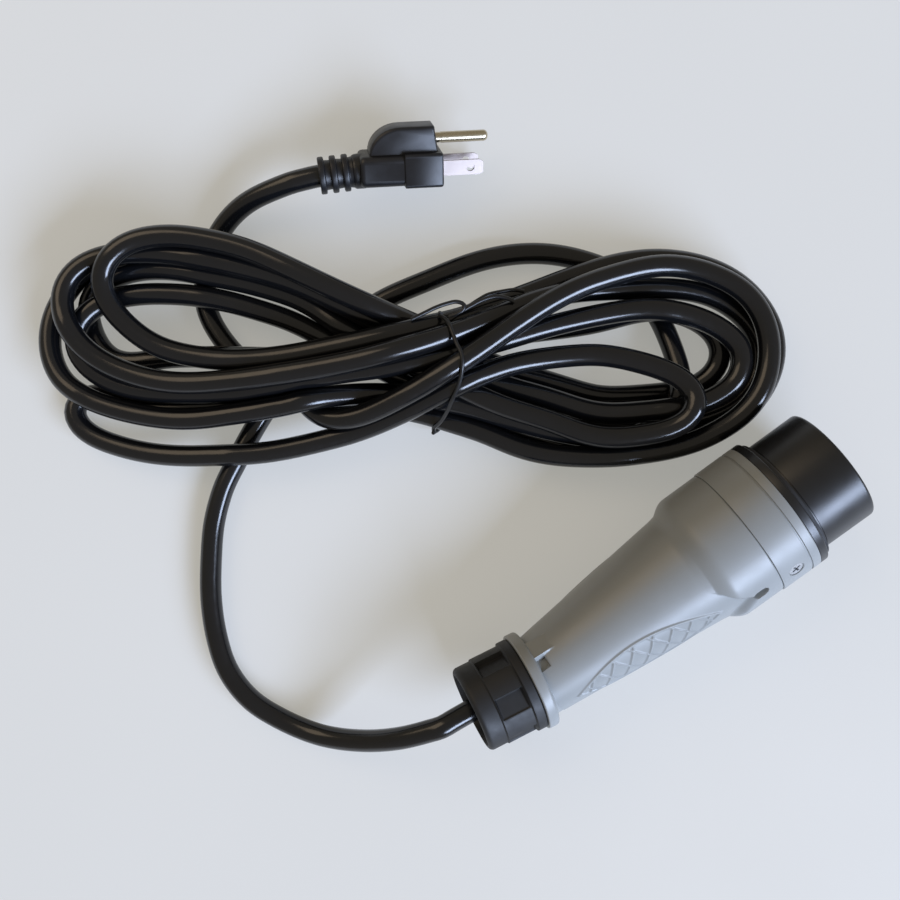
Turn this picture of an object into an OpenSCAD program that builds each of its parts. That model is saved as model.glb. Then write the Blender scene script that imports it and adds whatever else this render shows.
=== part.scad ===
// Charging cable: a hand-held connector with a bent gland, a mains plug, and the cord between them,
// folded into a tied hank. +X runs along the connector from its gland to its nose, +Z is up.
// The origin is on the table, under the middle of the connector.

/* [Cord] */
// Outer diameter of the cord's jacket
cord_d = 9.6; // [9:0.1:10]
// Height of the tied hank
hank_h = 32; // [30:1:36]
// Thickness of the wire tie round the hank
tie_d = 1.8; // [1.4:0.1:2.2]

/* [Nose] */
// Length of the nose in front of its flange
nose_len = 26; // [22:0.5:30]
// Wall of the nose and of the sleeve behind it
nose_wall = 3; // [2.4:0.1:3.4]
// Radius of the nose's front edge
nose_round = 1.5; // [1:0.1:1.8]
// Thickness of the black flange
flange_t = 3.6; // [3:0.1:4.4]
// Thickness of the sealing ring in front of the flange
seal_t = 1.6; // [1.2:0.1:2.2]
// Width of the sealing ring
seal_w = 2.4; // [1.8:0.1:3]

/* [Head ring] */
// Outer diameter of the grey ring
ring_d = 59.8; // [59:0.2:61]
// Wall of the grey ring round the sleeve
ring_wall = 3.6; // [3.4:0.1:4]
// Length of the grey ring
ring_len = 18.6; // [17.6:0.2:20]
// Distance of the ring's groove from its front edge
groove_back = 4; // [3.4:0.1:4.6]
// Width of the ring's groove
groove_w = 0.9; // [0.6:0.1:1.2]
// Depth of the ring's groove
groove_deep = 0.6; // [0.4:0.1:0.8]
// Distance of the side screws from the ring's rear edge
screw_x = 7.2; // [7.1:0.1:7.6]
// Head diameter of a side screw
screw_head_d = 6.4; // [6:0.1:6.6]
// Shank diameter of a side screw
screw_d = 3; // [2.5:0.1:3.5]
// Depth of a side screw's head below the ring's surface
screw_sink = 0.5; // [0.3:0.1:0.8]

/* [Handle] */
// How much smaller in radius the bell is than the ring
bell_step = 0.4; // [0.2:0.1:0.8]
// Length of the bell up to the start of its shoulder
bell_len = 17; // [16:0.5:18]
// Length of the shoulder between the bell and the grip
shoulder_len = 7.5; // [6:0.5:9]
// Height of the shoulder between the bell and the grip
shoulder_step = 3.8; // [3.2:0.1:4.4]
// Outer diameter of the grip at its rear end
grip_rear_d = 35.2; // [34:0.2:36]
// Length of the grip from the shoulder to the collar
grip_len = 79.5; // [76:0.5:84]
// Wall of the handle
handle_wall = 3; // [2.4:0.1:3.2]
// Length of the spigot that the ring sits on
spigot_len = 3; // [2.4:0.1:3.2]
// Length of the pointed flat that runs from the grip into the bell
tongue_len = 12.6; // [11:0.2:14]
// Width of the pointed flat at the shoulder
tongue_w = 20; // [16:0.5:22]
// Length of the pocket at the tip of the flat
pocket_len = 7; // [5:0.5:7.5]
// Width of the pocket at the tip of the flat
pocket_w = 3.8; // [3:0.1:4.6]
// Depth of the pocket
pocket_deep = 1.9; // [1.2:0.1:2.1]

/* [Grip pattern] */
// Length of the leaf-shaped pattern on each side
leaf_len = 69; // [64:1:72]
// Width of the leaf-shaped pattern
leaf_w = 20; // [16:0.5:22]
// Distance of the leaf's front tip from the ring
leaf_front = 26.5; // [25:0.5:30]
// Width of the leaf's rim and half again the width of a rib
rib_w = 0.9; // [0.7:0.1:1.2]
// Height of the ribs above the grip
rib_h = 0.5; // [0.3:0.1:0.7]
// Distance between the ribs along the grip
rib_pitch = 9.2; // [8:0.2:11]
// Angle of the ribs to the grip's axis
rib_angle = 56; // [45:1:62]

/* [Gland] */
// Angle between the gland and the grip
gland_bend = 17; // [10:1:20]
// Outer diameter of the collar
collar_d = 42.8; // [41.6:0.2:44]
// Length of the collar
collar_len = 5; // [4:0.5:6]
// Outer diameter of the threaded neck
neck_d = 30; // [29:0.2:30.6]
// Bore of the neck
neck_bore_d = 21.6; // [20.6:0.2:22.6]
// Length of the neck
neck_len = 19; // [17:0.5:19.5]
// Width of the fin on the grip in front of the collar
fin_w = 8; // [6:0.5:10]
// Length of the fin
fin_len = 16; // [12:0.5:18]

/* [Gland nut] */
// Length of the nut
nut_len = 26.6; // [25.6:0.2:28]
// Outer diameter of the nut's flange
nut_flange_d = 40.4; // [39.8:0.2:41.2]
// Length of the nut's flange
nut_flange_len = 4.5; // [3.5:0.5:5.5]
// Outer diameter across the grip pads
nut_pad_d = 38.4; // [38:0.2:39.2]
// Outer diameter of the nut's rear ring
nut_rear_d = 37.2; // [36.6:0.2:37.8]
// Length of the nut's rear ring
nut_rear_len = 9; // [8:0.5:10]
// Radius of the nut's rear edge
nut_round = 2.2; // [1.4:0.1:2.4]
// Wall of the nut at its rear opening
nut_wall = 2.5; // [2.2:0.1:2.7]
// Number of grip pads
pads = 6; // [5:1:8]
// Width of the slanted notch between two pads
notch_w = 9; // [7:0.5:10]
// Depth of the notch at its shallow side
notch_deep = 1.1; // [0.8:0.1:1.4]
// Number of spokes of the clamp in the nut's opening
spokes = 8; // [6:1:10]
// Thickness of a spoke
spoke_w = 1.6; // [1.2:0.1:2]

/* [Contacts] */
// Bore of the line and neutral sockets
socket_bore_d = 5.1; // [4.9:0.1:5.3]
// Bore of the earth socket
earth_bore_d = 6.1; // [5.9:0.1:6.3]
// Wall of a contact sleeve
sleeve_wall = 1.6; // [1.3:0.1:1.8]
// Radius of the circle on which the contacts lie
contact_r = 11; // [10.4:0.1:11.6]
// Depth of a socket's bore
socket_deep = 22; // [18:0.5:24]
// Distance of the insert's face behind the nose's front edge
insert_recess = 2.8; // [2:0.1:4]
// Thickness of the insert's face in front of the sleeves
insert_face = 3; // [2.4:0.1:3.6]
// How much wider than the socket the hole in the face is
entry_extra = 1; // [0.8:0.1:1.2]
// Shank diameter of a clamp screw
clamp_screw_d = 3; // [2.6:0.1:3.2]
// Head diameter of a clamp screw
clamp_head_d = 4.6; // [4.2:0.1:4.8]
// Head height of a clamp screw
clamp_head_t = 2; // [1.6:0.1:2.2]
// Diameter of an insulated lead inside the connector
lead_d = 2.8; // [2.4:0.1:3]

/* [Mains plug] */
// Length of the plug's body
plug_len = 36; // [34:0.5:40]
// Thickness of the plug's block
plug_t = 14.8; // [14:0.2:16]
// Width of the plug's block
plug_w = 22; // [21:0.5:25]
// How much smaller the rear half of the block is on each side
plug_step = 0.7; // [0.3:0.1:1]
// Height of the hump that holds the earth pin
hump_h = 10.6; // [9.6:0.2:11.2]
// Width of the hump
hump_w = 14; // [11:0.5:16]
// Length of the strain relief
relief_len = 17.6; // [16.8:0.2:20]
// Outer diameter of the strain relief's ribs
relief_d = 16; // [15:0.2:17]
// Number of ribs on the strain relief
relief_ribs = 3; // [2:1:4]
// Length of a blade outside the body
blade_len = 17.8; // [17:0.1:18.4]
// Width of a blade
blade_w = 6.35; // [6.1:0.05:6.6]
// Thickness of a blade
blade_t = 1.52; // [1.4:0.02:1.65]
// Distance between the blades
blade_pitch = 12.7; // [12.5:0.1:12.9]
// Diameter of the hole in a blade
blade_hole_d = 3.6; // [3:0.1:4]
// Length of the earth pin outside the body
pin_len = 21; // [20:0.1:22]
// Diameter of the earth pin
pin_d = 4.75; // [4.6:0.05:4.9]
// Distance of the earth pin from the line between the blades
pin_off = 11.9; // [11.7:0.1:12.1]

/* [Hidden] */
$fn = 64;

fit = 0.1;
seat = 0.4;
cut = 1;

ring_r = ring_d / 2;
sleeve_r = ring_r - ring_wall - fit;
nose_r = sleeve_r - seat;
bell_r = ring_r - bell_step;
collar_r = collar_d / 2;
neck_r = neck_d / 2;
sleeve_back = 3;
flange_x = ring_len;
seal_x = flange_x + flange_t;
seal_front = seal_x + seal_t;
seal_groove = 0.3;
nose_x = flange_x + 4;
nose_front = nose_x + nose_len;
nose_bore_r = nose_r - nose_wall;
insert_front = nose_front - insert_recess;
ledge = 1.2;
ledge_x = 10;
block_back = -8;
insert_r = nose_bore_r - 2 * fit;
block_r = nose_bore_r - ledge - 2 * fit;
spigot_r = sleeve_r + 1.7;

bell_back = -seat;
shoulder_x = -bell_len;
grip_x = shoulder_x - shoulder_len;
grip_front_r = bell_r - shoulder_step;
grip_rear_r = grip_rear_d / 2;
bend_x = grip_x - grip_len;
taper = (grip_front_r - grip_rear_r) / grip_len;
bell_bore_r = bell_r - handle_wall;
function grip_r(x) = grip_front_r + (x - grip_x) * taper;

collar_t = 2;
nut_t = collar_t + collar_len;
nut_end = nut_t + nut_len;
neck_end = nut_t + neck_len;
nut_bore_r = neck_r + 2 * fit;
nut_open_r = nut_rear_d / 2 - nut_wall;
clamp_t = neck_end + 2 * seat;
clamp_thick = 2.6;
clamp_ring_r = 7.4;
cord_r = cord_d / 2;
cord_hole_r = cord_r + fit;
jacket_t = -13;

// How the connector lies: rolled about its axis, with its nose a little up.
lie_roll = 44;
lie_tilt = 2.5;
lie_lift = bell_r * cos(lie_tilt) + bell_len * sin(lie_tilt);
gland_back = (nut_end - nut_round) * cos(gland_bend) + nut_rear_d / 2 * sin(gland_bend);
lie_x = (gland_back - bend_x - nose_front) / 2 - 0.3;

// The table's own directions: the cord's points are given from a point between the hank and the
// connector, with the connector's axis turned by this angle.
table_turn = 36.5;
table_origin = [86, -61.6];

function turn_x(p, a) = [p[0], p[1] * cos(a) - p[2] * sin(a), p[1] * sin(a) + p[2] * cos(a)];
function turn_y(p, a) = [p[0] * cos(a) + p[2] * sin(a), p[1], p[2] * cos(a) - p[0] * sin(a)];
function turn_z(p, a) = [p[0] * cos(a) - p[1] * sin(a), p[0] * sin(a) + p[1] * cos(a), p[2]];
function lying(p) = turn_y(turn_x(p, -lie_roll), -lie_tilt) + [lie_x, 0, lie_lift];
function on_gland(t, off = [0, 0]) = turn_y([off[0], off[1], t], gland_bend - 90) + [bend_x, 0, 0];
function on_table(p) = turn_z(p - [table_origin[0], table_origin[1], 0], -table_turn);

// Where the mains plug lies: its rear face's middle, in the table's directions.
plug_yaw = 4.9;
plug_pitch = 7;
plug_roll = 29;
plug_at = [-39.8, 123];
relief_bend = 4;
relief_low = 1;
plug_drop = plug_t / 2 * sin(plug_roll) + plug_w / 2 * cos(plug_roll);
plug_lift = plug_len * sin(plug_pitch) + plug_drop * cos(plug_pitch);
blade_root = 9;
pin_root = blade_root + 3;
pin_neck = 0.2;
function on_plug(p) =
    on_table(turn_z(turn_y(turn_x(p, plug_roll), plug_pitch), plug_yaw) + [plug_at[0], plug_at[1], plug_lift]);

// The cord's route outside the hank, in the table's directions.
gland_route = [
    [-4, -117, 34], [-21, -123, 28], [-39, -127, 18], [-58, -127, 9], [-76, -121, 5], [-90, -112, 4.8],
    [-100, -99, 4.8], [-105, -84, 4.8], [-107.5, -67, 4.8], [-107.5, -49, 4.8], [-106, -32, 4.8],
    [-102, -16, 4.8], [-96, -3.5, 4.8], [-92, 3, 4.8]
];
bow_route = [
    [-33, 65, 4.8], [-22, 72, 4.8], [-11, 77, 4.8], [0, 81, 4.8], [12, 84.5, 4.8], [26, 87.5, 4.8],
    [41, 89, 4.8], [57, 87, 4.8], [69, 83, 4.8]
];
plug_route = [
    [-70, 116.6, 18], [-80, 113.6, 15], [-89, 110.2, 11.5], [-97, 105, 8], [-103, 98.4, 5.6], [-107.5, 90, 4.8]
];

// The hank's outline: two round ends and a waist under the tie, each a circle's middle and radius.
hank_left = [[-129.5, 45.8], 52];
hank_waist = [[-8.8, 34.4], 26];
hank_right = [[82, 36], 42];
hank_end = [[102.6, 45], 43];
tie_groove = 3;
tie_x = -5;

function unit(v) = v / norm(v);
function heading(p, i) =
    i == 0 ? unit(p[1] - p[0]) :
    i == len(p) - 1 ? unit(p[i] - p[i - 1]) :
    unit(unit(p[i + 1] - p[i]) + unit(p[i] - p[i - 1]));
function across(v, t) = unit(v - (v * t) * t);
function frames(p, last, i = 0) =
    i == len(p) ? [] :
    let(t = heading(p, i), s = across(last, t))
    concat([[p[i], s, cross(t, s)]], frames(p, s, i + 1));
function ring_points(frame, r, sides) = [
    for (k = [0 : sides - 1])
        frame[0] + r * (cos(360 * k / sides) * frame[1] + sin(360 * k / sides) * frame[2])
];
function tube_points(p, r, sides) = [
    for (frame = frames(p, [0.1, 0.05, 1]))
        for (q = ring_points(frame, r, sides)) q
];
function tube_faces(rings, sides) = concat(
    [[for (k = [sides - 1 : -1 : 0]) sides - 1 - k]],
    [[for (k = [sides - 1 : -1 : 0]) (rings - 1) * sides + k]],
    [
        for (i = [0 : rings - 2])
            for (k = [0 : sides - 1])
                let(a = i * sides + k, b = i * sides + (k + 1) % sides)
                [a, a + sides, b + sides, b]
    ]
);
function bezier(a, b, c, d, u) =
    pow(1 - u, 3) * a + 3 * u * pow(1 - u, 2) * b + 3 * u * u * (1 - u) * c + pow(u, 3) * d;
function arc(middle, r, from, to, steps) = [
    for (k = [0 : steps])
        let(a = from + (to - from) * k / steps)
        middle + r * [cos(a), sin(a)]
];

// The angle at which a straight line touches two circles on the same side, and where two such lines meet.
function touch(a, b, side) =
    let(d = b[0] - a[0])
    atan2(d[1], d[0]) + side * acos((a[1] - b[1]) / norm(d));
function crossing(a, at_a, b, at_b) =
    let(
        u = [cos(at_a), sin(at_a)],
        v = [cos(at_b), sin(at_b)],
        p = a[0] * u + a[1],
        q = b[0] * v + b[1],
        det = u[0] * v[1] - u[1] * v[0]
    )
    [(p * v[1] - q * u[1]) / det, (u[0] * q - v[0] * p) / det];

// How far up the table such a line is at x.
function edge_y(a, b, side, x) =
    let(t = touch(a, b, side))
    a[0][1] + (a[1] + cos(t) * (a[0][0] - x)) / sin(t);

// A tube along a list of points.
module tube(p, r, sides = 8) {
    polyhedron(tube_points(p, r, sides), tube_faces(len(p), sides), convexity = 6);
}

// A turned piece along the connector's axis, from points [radius, distance].
module turned(points) {
    rotate([0, 90, 0])
        rotate_extrude($fn = 96)
            polygon(points);
}

module lie_down() {
    translate([lie_x, 0, lie_lift])
        rotate([0, -lie_tilt, 0])
            rotate([-lie_roll, 0, 0])
                children();
}

module at_gland() {
    translate([bend_x, 0, 0])
        rotate([0, gland_bend - 90, 0])
            children();
}

module table_frame() {
    rotate([0, 0, -table_turn])
        translate([-table_origin[0], -table_origin[1], 0])
            children();
}

module at_plug() {
    table_frame()
        translate([plug_at[0], plug_at[1], plug_lift])
            rotate([0, 0, plug_yaw])
                rotate([0, plug_pitch, 0])
                    rotate([plug_roll, 0, 0])
                        children();
}

// A rounded rectangle about the origin, made of squares and circles.
module rounded(w, h, r) {
    square([w - 2 * r, h], center = true);
    square([w, h - 2 * r], center = true);
    for (x = [-1, 1])
        for (y = [-1, 1])
            translate([x * (w / 2 - r), y * (h / 2 - r)])
                circle(r, $fn = 24);
}

// Grip cone as a solid, carried on towards the ring.
module grip_cone(extra, front) {
    turned([
        [0, bend_x], [grip_rear_r + extra, bend_x],
        [grip_r(front) + extra, front], [0, front]
    ]);
}

module leaf_2d(shrink = 0) {
    half = leaf_len / 2;
    big_r = (half * half + leaf_w * leaf_w / 4) / leaf_w;
    intersection() {
        translate([0, big_r - leaf_w / 2]) circle(big_r - shrink, $fn = 120);
        translate([0, leaf_w / 2 - big_r]) circle(big_r - shrink, $fn = 120);
    }
}

module leaf_ribs_2d() {
    difference() {
        leaf_2d();
        leaf_2d(rib_w);
    }
    intersection() {
        leaf_2d(rib_w / 2);
        for (way = [-1, 1])
            for (k = [-3 : 3])
                translate([k * rib_pitch, 0])
                    rotate([0, 0, way * rib_angle])
                        square([leaf_w * 2, rib_w * 0.6], center = true);
    }
}

// Both sides of something drawn on the handle's side, in the plane of its length and height.
module both_sides() {
    for (way = [0, 1])
        mirror([0, way, 0])
            rotate([90, 0, 0])
                children();
}

module grip_pattern() {
    middle = -leaf_front - leaf_len / 2;
    intersection() {
        difference() {
            grip_cone(rib_h, -leaf_front + cut);
            grip_cone(-cut, -leaf_front + 2 * cut);
        }
        both_sides()
            linear_extrude(bell_r)
                translate([middle, 0]) leaf_ribs_2d();
    }
}

// The pointed flat and the pocket at its tip, as what is cut from the bell.
module side_cuts() {
    tip = grip_x + tongue_len;
    difference() {
        both_sides()
            linear_extrude(bell_r + cut)
                polygon([[grip_x - cut, -tongue_w / 2], [grip_x - cut, tongue_w / 2], [tip, pocket_w / 4], [tip, -pocket_w / 4]]);
        grip_cone(0, 0);
    }
    both_sides()
        translate([0, 0, bell_r - pocket_deep])
            linear_extrude(pocket_deep + cut) {
                translate([tip + pocket_w / 4, 0]) circle(d = pocket_w, $fn = 24);
                translate([tip + pocket_len - pocket_w / 2, 0]) circle(d = pocket_w, $fn = 24);
                translate([tip + pocket_w / 4, -pocket_w / 2])
                    square([pocket_len - pocket_w * 0.75, pocket_w]);
            }
}

module handle_shell() {
    fin_x = bend_x + 1;
    fin_top = grip_rear_r + 2.6;
    color("#b9bdbe") lie_down() difference() {
        union() {
            difference() {
                turned(concat(
                    [[0, bend_x], [grip_rear_r, bend_x], [grip_front_r, grip_x]],
                    [
                        for (k = [1 : 6])
                            [grip_front_r + (bell_r - grip_front_r) * sin(15 * k), grip_x + shoulder_len * k / 6]
                    ],
                    [
                        [bell_r, bell_back], [spigot_r, bell_back],
                        [spigot_r, spigot_len], [0, spigot_len]
                    ]
                ));
                side_cuts();
            }
            grip_pattern();
            at_gland() rotate_extrude($fn = 96) polygon(concat(
                [[0, -5], [grip_rear_r - 0.6, -5], [grip_rear_r - 0.2, collar_t - 2], [grip_rear_r - 0.2, collar_t]],
                arc([collar_r - 1.6, collar_t + 1.6], 1.6, -90, 0, 5),
                arc([collar_r - 0.8, nut_t - 0.8], 0.8, 0, 90, 3),
                [[neck_r, nut_t], [neck_r, neck_end], [0, neck_end]]
            ));
            rotate([90, 0, 0])
                linear_extrude(fin_w, center = true)
                    polygon([
                        [fin_x - 2, grip_rear_r - 3], [fin_x - 2, fin_top], [fin_x + 3, fin_top],
                        [fin_x + fin_len, grip_r(fin_x + fin_len) - 0.3],
                        [fin_x + fin_len, grip_rear_r - 3]
                    ]);
        }
        turned([
            [0, bend_x + 7], [grip_r(bend_x + 7) - handle_wall, bend_x + 7],
            [grip_front_r - handle_wall, grip_x],
            [bell_bore_r - 1, shoulder_x - 1], [bell_bore_r - 1, -4],
            [sleeve_r + fit, -2], [sleeve_r + fit, spigot_len + cut], [0, spigot_len + cut]
        ]);
        at_gland()
            translate([0, 0, jacket_t - 4])
                cylinder(d = neck_bore_d, h = neck_end - jacket_t + 4 + cut);
        translate([fin_x + 4, -fin_w / 2 - 2.1, grip_rear_r - 1.2])
            cube([5, 4.2, 3.4], center = true);
    }
}

module head_ring() {
    groove_x = ring_len - groove_back;
    color("#bfc3c4") lie_down() difference() {
        turned([
            [sleeve_r + fit, spigot_len + seat], [spigot_r + fit, spigot_len + seat],
            [spigot_r + fit, 0], [ring_r - 0.4, 0], [ring_r, 0.4],
            [ring_r, groove_x - groove_w], [ring_r - groove_deep, groove_x - groove_w + 0.2],
            [ring_r - groove_deep, groove_x - 0.2], [ring_r, groove_x],
            [ring_r, ring_len - 0.6], [ring_r - 0.6, ring_len], [sleeve_r + fit, ring_len]
        ]);
        both_sides() translate([screw_x, 0, 0]) {
            cylinder(d = screw_head_d + 2 * fit, h = ring_r + cut);
        }
    }
}

module ring_screws() {
    head_z = sleeve_r + fit;
    head_top = ring_r - screw_sink;
    color("#a9adb0") lie_down() both_sides() translate([screw_x, 0, 0]) difference() {
        union() {
            translate([0, 0, nose_bore_r - ledge + 2 * fit])
                cylinder(d = screw_d, h = head_z - nose_bore_r + ledge);
            translate([0, 0, head_z]) cylinder(d = screw_head_d, h = head_top - head_z);
        }
        for (a = [0, 90])
            translate([0, 0, head_top])
                rotate([0, 0, a + 20])
                    cube([screw_head_d * 0.62, 0.9, 2.2], center = true);
    }
}

module nose_barrel() {
    color("#1b1c1e") lie_down() difference() {
        turned(concat(
            [
                [nose_bore_r - ledge, sleeve_back], [sleeve_r, sleeve_back], [sleeve_r, flange_x],
                [ring_r - 0.4, flange_x], [ring_r - 0.1, flange_x + 0.3],
                [ring_r - 0.1, seal_x - 0.6], [ring_r - 0.7, seal_x], [nose_r, seal_x],
                [nose_r, seal_front + fit], [nose_r - seal_groove, seal_front + fit],
                [nose_r - seal_groove, seal_front + fit + 1], [nose_r, seal_front + fit + 1]
            ],
            arc([nose_r - nose_round, nose_front - nose_round], nose_round, 0, 90, 5),
            [
                [nose_bore_r + 0.6, nose_front], [nose_bore_r, nose_front - 0.6],
                [nose_bore_r, ledge_x], [nose_bore_r - ledge, ledge_x]
            ]
        ));
        both_sides() translate([screw_x, 0, 0]) cylinder(d = screw_d + 2 * fit, h = ring_r);
    }
}

module flange_seal() {
    r = nose_r + fit / 2;
    outer_r = nose_r + seal_w;
    color("#26272a") lie_down() turned([
        [r, seal_x], [outer_r, seal_x], [outer_r, seal_front - 0.5], [outer_r - 0.5, seal_front], [r, seal_front]
    ]);
}

// Where each contact lies: its angle about the axis, its bore and how far its mouth stands forward.
function contact_at(k) = [90 - 120 * k, k == 2 ? earth_bore_d : socket_bore_d, k == 2 ? 0 : -1.5];
contact_turn = [-46, 74, 194];

module at_contact(k) {
    rotate([contact_turn[k], 0, 0])
        translate([0, 0, contact_r])
            rotate([0, 90, 0])
                children();
}

function sleeve_outer_r(k) = contact_at(k)[1] / 2 + sleeve_wall;
function mouth_x(k) = insert_front - insert_face + contact_at(k)[2];

module contact_insert() {
    color("#2a2b2e") lie_down() difference() {
        turned([
            [0, ledge_x], [insert_r, ledge_x], [insert_r, insert_front - 0.5],
            [insert_r - 0.5, insert_front], [0, insert_front]
        ]);
        for (k = [0 : 2]) at_contact(k) {
            translate([0, 0, ledge_x - cut])
                cylinder(r = sleeve_outer_r(k) + fit, h = mouth_x(k) - ledge_x + cut);
            cylinder(r = (contact_at(k)[1] + entry_extra) / 2, h = insert_front + cut);
        }
    }
}

module terminal_block() {
    color("#d8d4c6") lie_down() difference() {
        turned([[0, block_back], [block_r, block_back], [block_r, ledge_x], [0, ledge_x]]);
        for (k = [0 : 2]) {
            at_contact(k)
                translate([0, 0, block_back - cut])
                    cylinder(r = sleeve_outer_r(k) + fit, h = ledge_x - block_back + 2 * cut);
            rotate([contact_turn[k], 0, 0])
                translate([-2, 0, contact_r])
                    cylinder(d = clamp_head_d + 6 * fit, h = block_r);
        }
    }
}

module contact(k) {
    back = block_back + 1.5;
    bore_r = contact_at(k)[1] / 2;
    color("#b8954a") lie_down() difference() {
        at_contact(k) difference() {
            translate([0, 0, back]) cylinder(r = sleeve_outer_r(k), h = mouth_x(k) - back);
            translate([0, 0, mouth_x(k) - socket_deep])
                cylinder(r = bore_r, h = socket_deep + cut);
            translate([0, 0, back - cut]) cylinder(d = lead_d + 2 * fit, h = 12);
        }
        rotate([contact_turn[k], 0, 0])
            translate([-2, 0, contact_r])
                cylinder(d = clamp_screw_d + 2 * fit, h = block_r);
    }
}

module contact_line() contact(0);
module contact_neutral() contact(1);
module contact_earth() contact(2);

module terminal_screws() {
    color("#c9ccd0") lie_down() for (k = [0 : 2])
        rotate([contact_turn[k], 0, 0]) translate([-2, 0, contact_r]) difference() {
            union() {
                translate([0, 0, lead_d / 2 + fit])
                    cylinder(d = clamp_screw_d, h = sleeve_outer_r(k) - lead_d / 2 + clamp_head_t / 2);
                translate([0, 0, sleeve_outer_r(k) + fit]) cylinder(d = clamp_head_d, h = clamp_head_t);
            }
            translate([0, 0, sleeve_outer_r(k) + fit + clamp_head_t])
                cube([clamp_head_d + cut, clamp_head_d / 6, clamp_head_t * 0.8], center = true);
        }
}

// A lead runs from the end of the cord's jacket to the back of its contact.
function lead_route(k) =
    let(
        spread = lead_d / sqrt(3) + fit,
        a = contact_turn[k] + 90,
        from = on_gland(jacket_t, spread * [sin(a), cos(a)]),
        to = [block_back + 2, contact_r * -sin(contact_turn[k]), contact_r * cos(contact_turn[k])],
        leave = on_gland(jacket_t - 22, spread * 1.6 * [sin(a), cos(a)]),
        arrive = to - [30, 0, 0]
    )
    concat([for (i = [0 : 9]) lying(bezier(from, leave, arrive, to, i / 9))], [lying(to + [4, 0, 0])]);

module lead(k) tube(lead_route(k), lead_d / 2);

module lead_line() color("#1a1a1a") lead(0);
module lead_neutral() color("#e4e4df") lead(1);
module lead_earth() color("#2f7d3c") lead(2);

module gland_nut() {
    pad_from = nut_t + nut_flange_len;
    pad_to = nut_end - nut_rear_len;
    rear_r = nut_rear_d / 2;
    pad_r = nut_pad_d / 2;
    color("#202124") lie_down() at_gland() difference() {
        rotate_extrude($fn = 96) polygon(concat(
            [
                [nut_bore_r, nut_t + fit], [nut_flange_d / 2 - 0.5, nut_t + fit],
                [nut_flange_d / 2, nut_t + 0.6], [nut_flange_d / 2, pad_from - 0.4],
                [pad_r, pad_from], [pad_r, pad_to], [rear_r, pad_to + 0.8]
            ],
            arc([rear_r - nut_round, nut_end - nut_round], nut_round, 0, 90, 5),
            [
                [nut_open_r, nut_end], [nut_open_r, clamp_t - fit],
                [nut_bore_r, clamp_t - fit]
            ]
        ));
        for (k = [0 : pads - 1])
            rotate([0, 0, 360 * k / pads + 12])
                translate([pad_r - notch_deep, -notch_w / 2, pad_from + 0.4])
                    rotate([0, 0, 11])
                        cube([6, notch_w, pad_to - pad_from - 0.4]);
    }
}

module gland_clamp() {
    outer_r = nut_open_r - fit;
    color("#303236") lie_down() at_gland() {
        difference() {
            translate([0, 0, clamp_t - 4]) cylinder(r = clamp_ring_r, h = clamp_thick + 5);
            translate([0, 0, clamp_t - 5]) cylinder(r = cord_hole_r, h = clamp_thick + 7);
        }
        translate([0, 0, clamp_t]) difference() {
            cylinder(r = outer_r, h = clamp_thick);
            translate([0, 0, -cut]) cylinder(r = outer_r - 1.2, h = clamp_thick + 2 * cut);
        }
        for (k = [0 : spokes - 1])
            rotate([0, 0, 360 * k / spokes])
                translate([clamp_ring_r - 0.4, -spoke_w / 2, clamp_t])
                    cube([outer_r - clamp_ring_r - 0.2, spoke_w, clamp_thick]);
    }
}

module gland_seal() {
    color("#3a3a3c") lie_down() at_gland() difference() {
        translate([0, 0, nut_t + 1]) cylinder(r = neck_bore_d / 2 - fit, h = neck_len - 6);
        translate([0, 0, nut_t]) cylinder(r = cord_hole_r, h = neck_len);
    }
}

module strain_relief() {
    pitch = 5.2;
    rib = 2.7;
    core_r = cord_r + 1;
    base_len = relief_len - relief_ribs * pitch + 0.4;
    translate([0, -relief_low, 0]) rotate([0, -90, relief_bend]) {
        cylinder(r1 = core_r + 1.6, r2 = core_r, h = relief_len - 1, $fn = 48);
        cylinder(r1 = relief_d / 2 - 0.4, r2 = relief_d / 2 - 0.9, h = base_len, $fn = 48);
        for (k = [0 : relief_ribs - 1])
            translate([0, 0, relief_len - rib - k * pitch])
                rotate_extrude($fn = 48) polygon([
                    [0, 0], [relief_d / 2 - 0.7, 0], [relief_d / 2, 0.7],
                    [relief_d / 2, rib - 0.7], [relief_d / 2 - 0.7, rib], [0, rib]
                ]);
    }
}

module hump_profile() {
    base = plug_t / 2 - 1;
    top = plug_t / 2 + hump_h;
    polygon(concat(
        [for (k = [0 : 8]) [4.3 + 14 * (1 - cos(90 * k / 8)), base + (top - 0.9 - base) * sin(90 * k / 8)]],
        [
            [plug_len - 3.4, top], [plug_len - 2.8, top - 3], [plug_len - 2.3, top - 6.4],
            [plug_len - 1.6, base]
        ]
    ));
}

module plug_body() {
    step_x = plug_len * 0.53;
    color("#232427") at_plug() difference() {
        union() {
            rotate([90, 0, 90])
                linear_extrude(step_x + cut) rounded(plug_t - 2 * plug_step, plug_w - 2 * plug_step, 3.4);
            translate([step_x, 0, 0])
                rotate([90, 0, 90])
                    linear_extrude(plug_len - step_x) rounded(plug_t, plug_w, 1.4);
            linear_extrude(hump_w - 3, center = true) hump_profile();
            linear_extrude(hump_w, center = true) intersection() {
                hump_profile();
                translate([0, -1.4]) hump_profile();
            }
            strain_relief();
        }
        translate([0, -relief_low, 0])
            rotate([0, -90, relief_bend])
                translate([0, 0, relief_len - 6])
                    cylinder(r = cord_r, h = 7);
        for (way = [-1, 1])
            translate([plug_len - blade_root, -blade_w / 2, way * blade_pitch / 2 - blade_t / 2])
                cube([blade_root + cut, blade_w, blade_t]);
        translate([plug_len - pin_root, pin_off, 0])
            rotate([0, 90, 0])
                cylinder(r = pin_d / 2 - pin_neck, h = pin_root + cut);
    }
}

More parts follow.
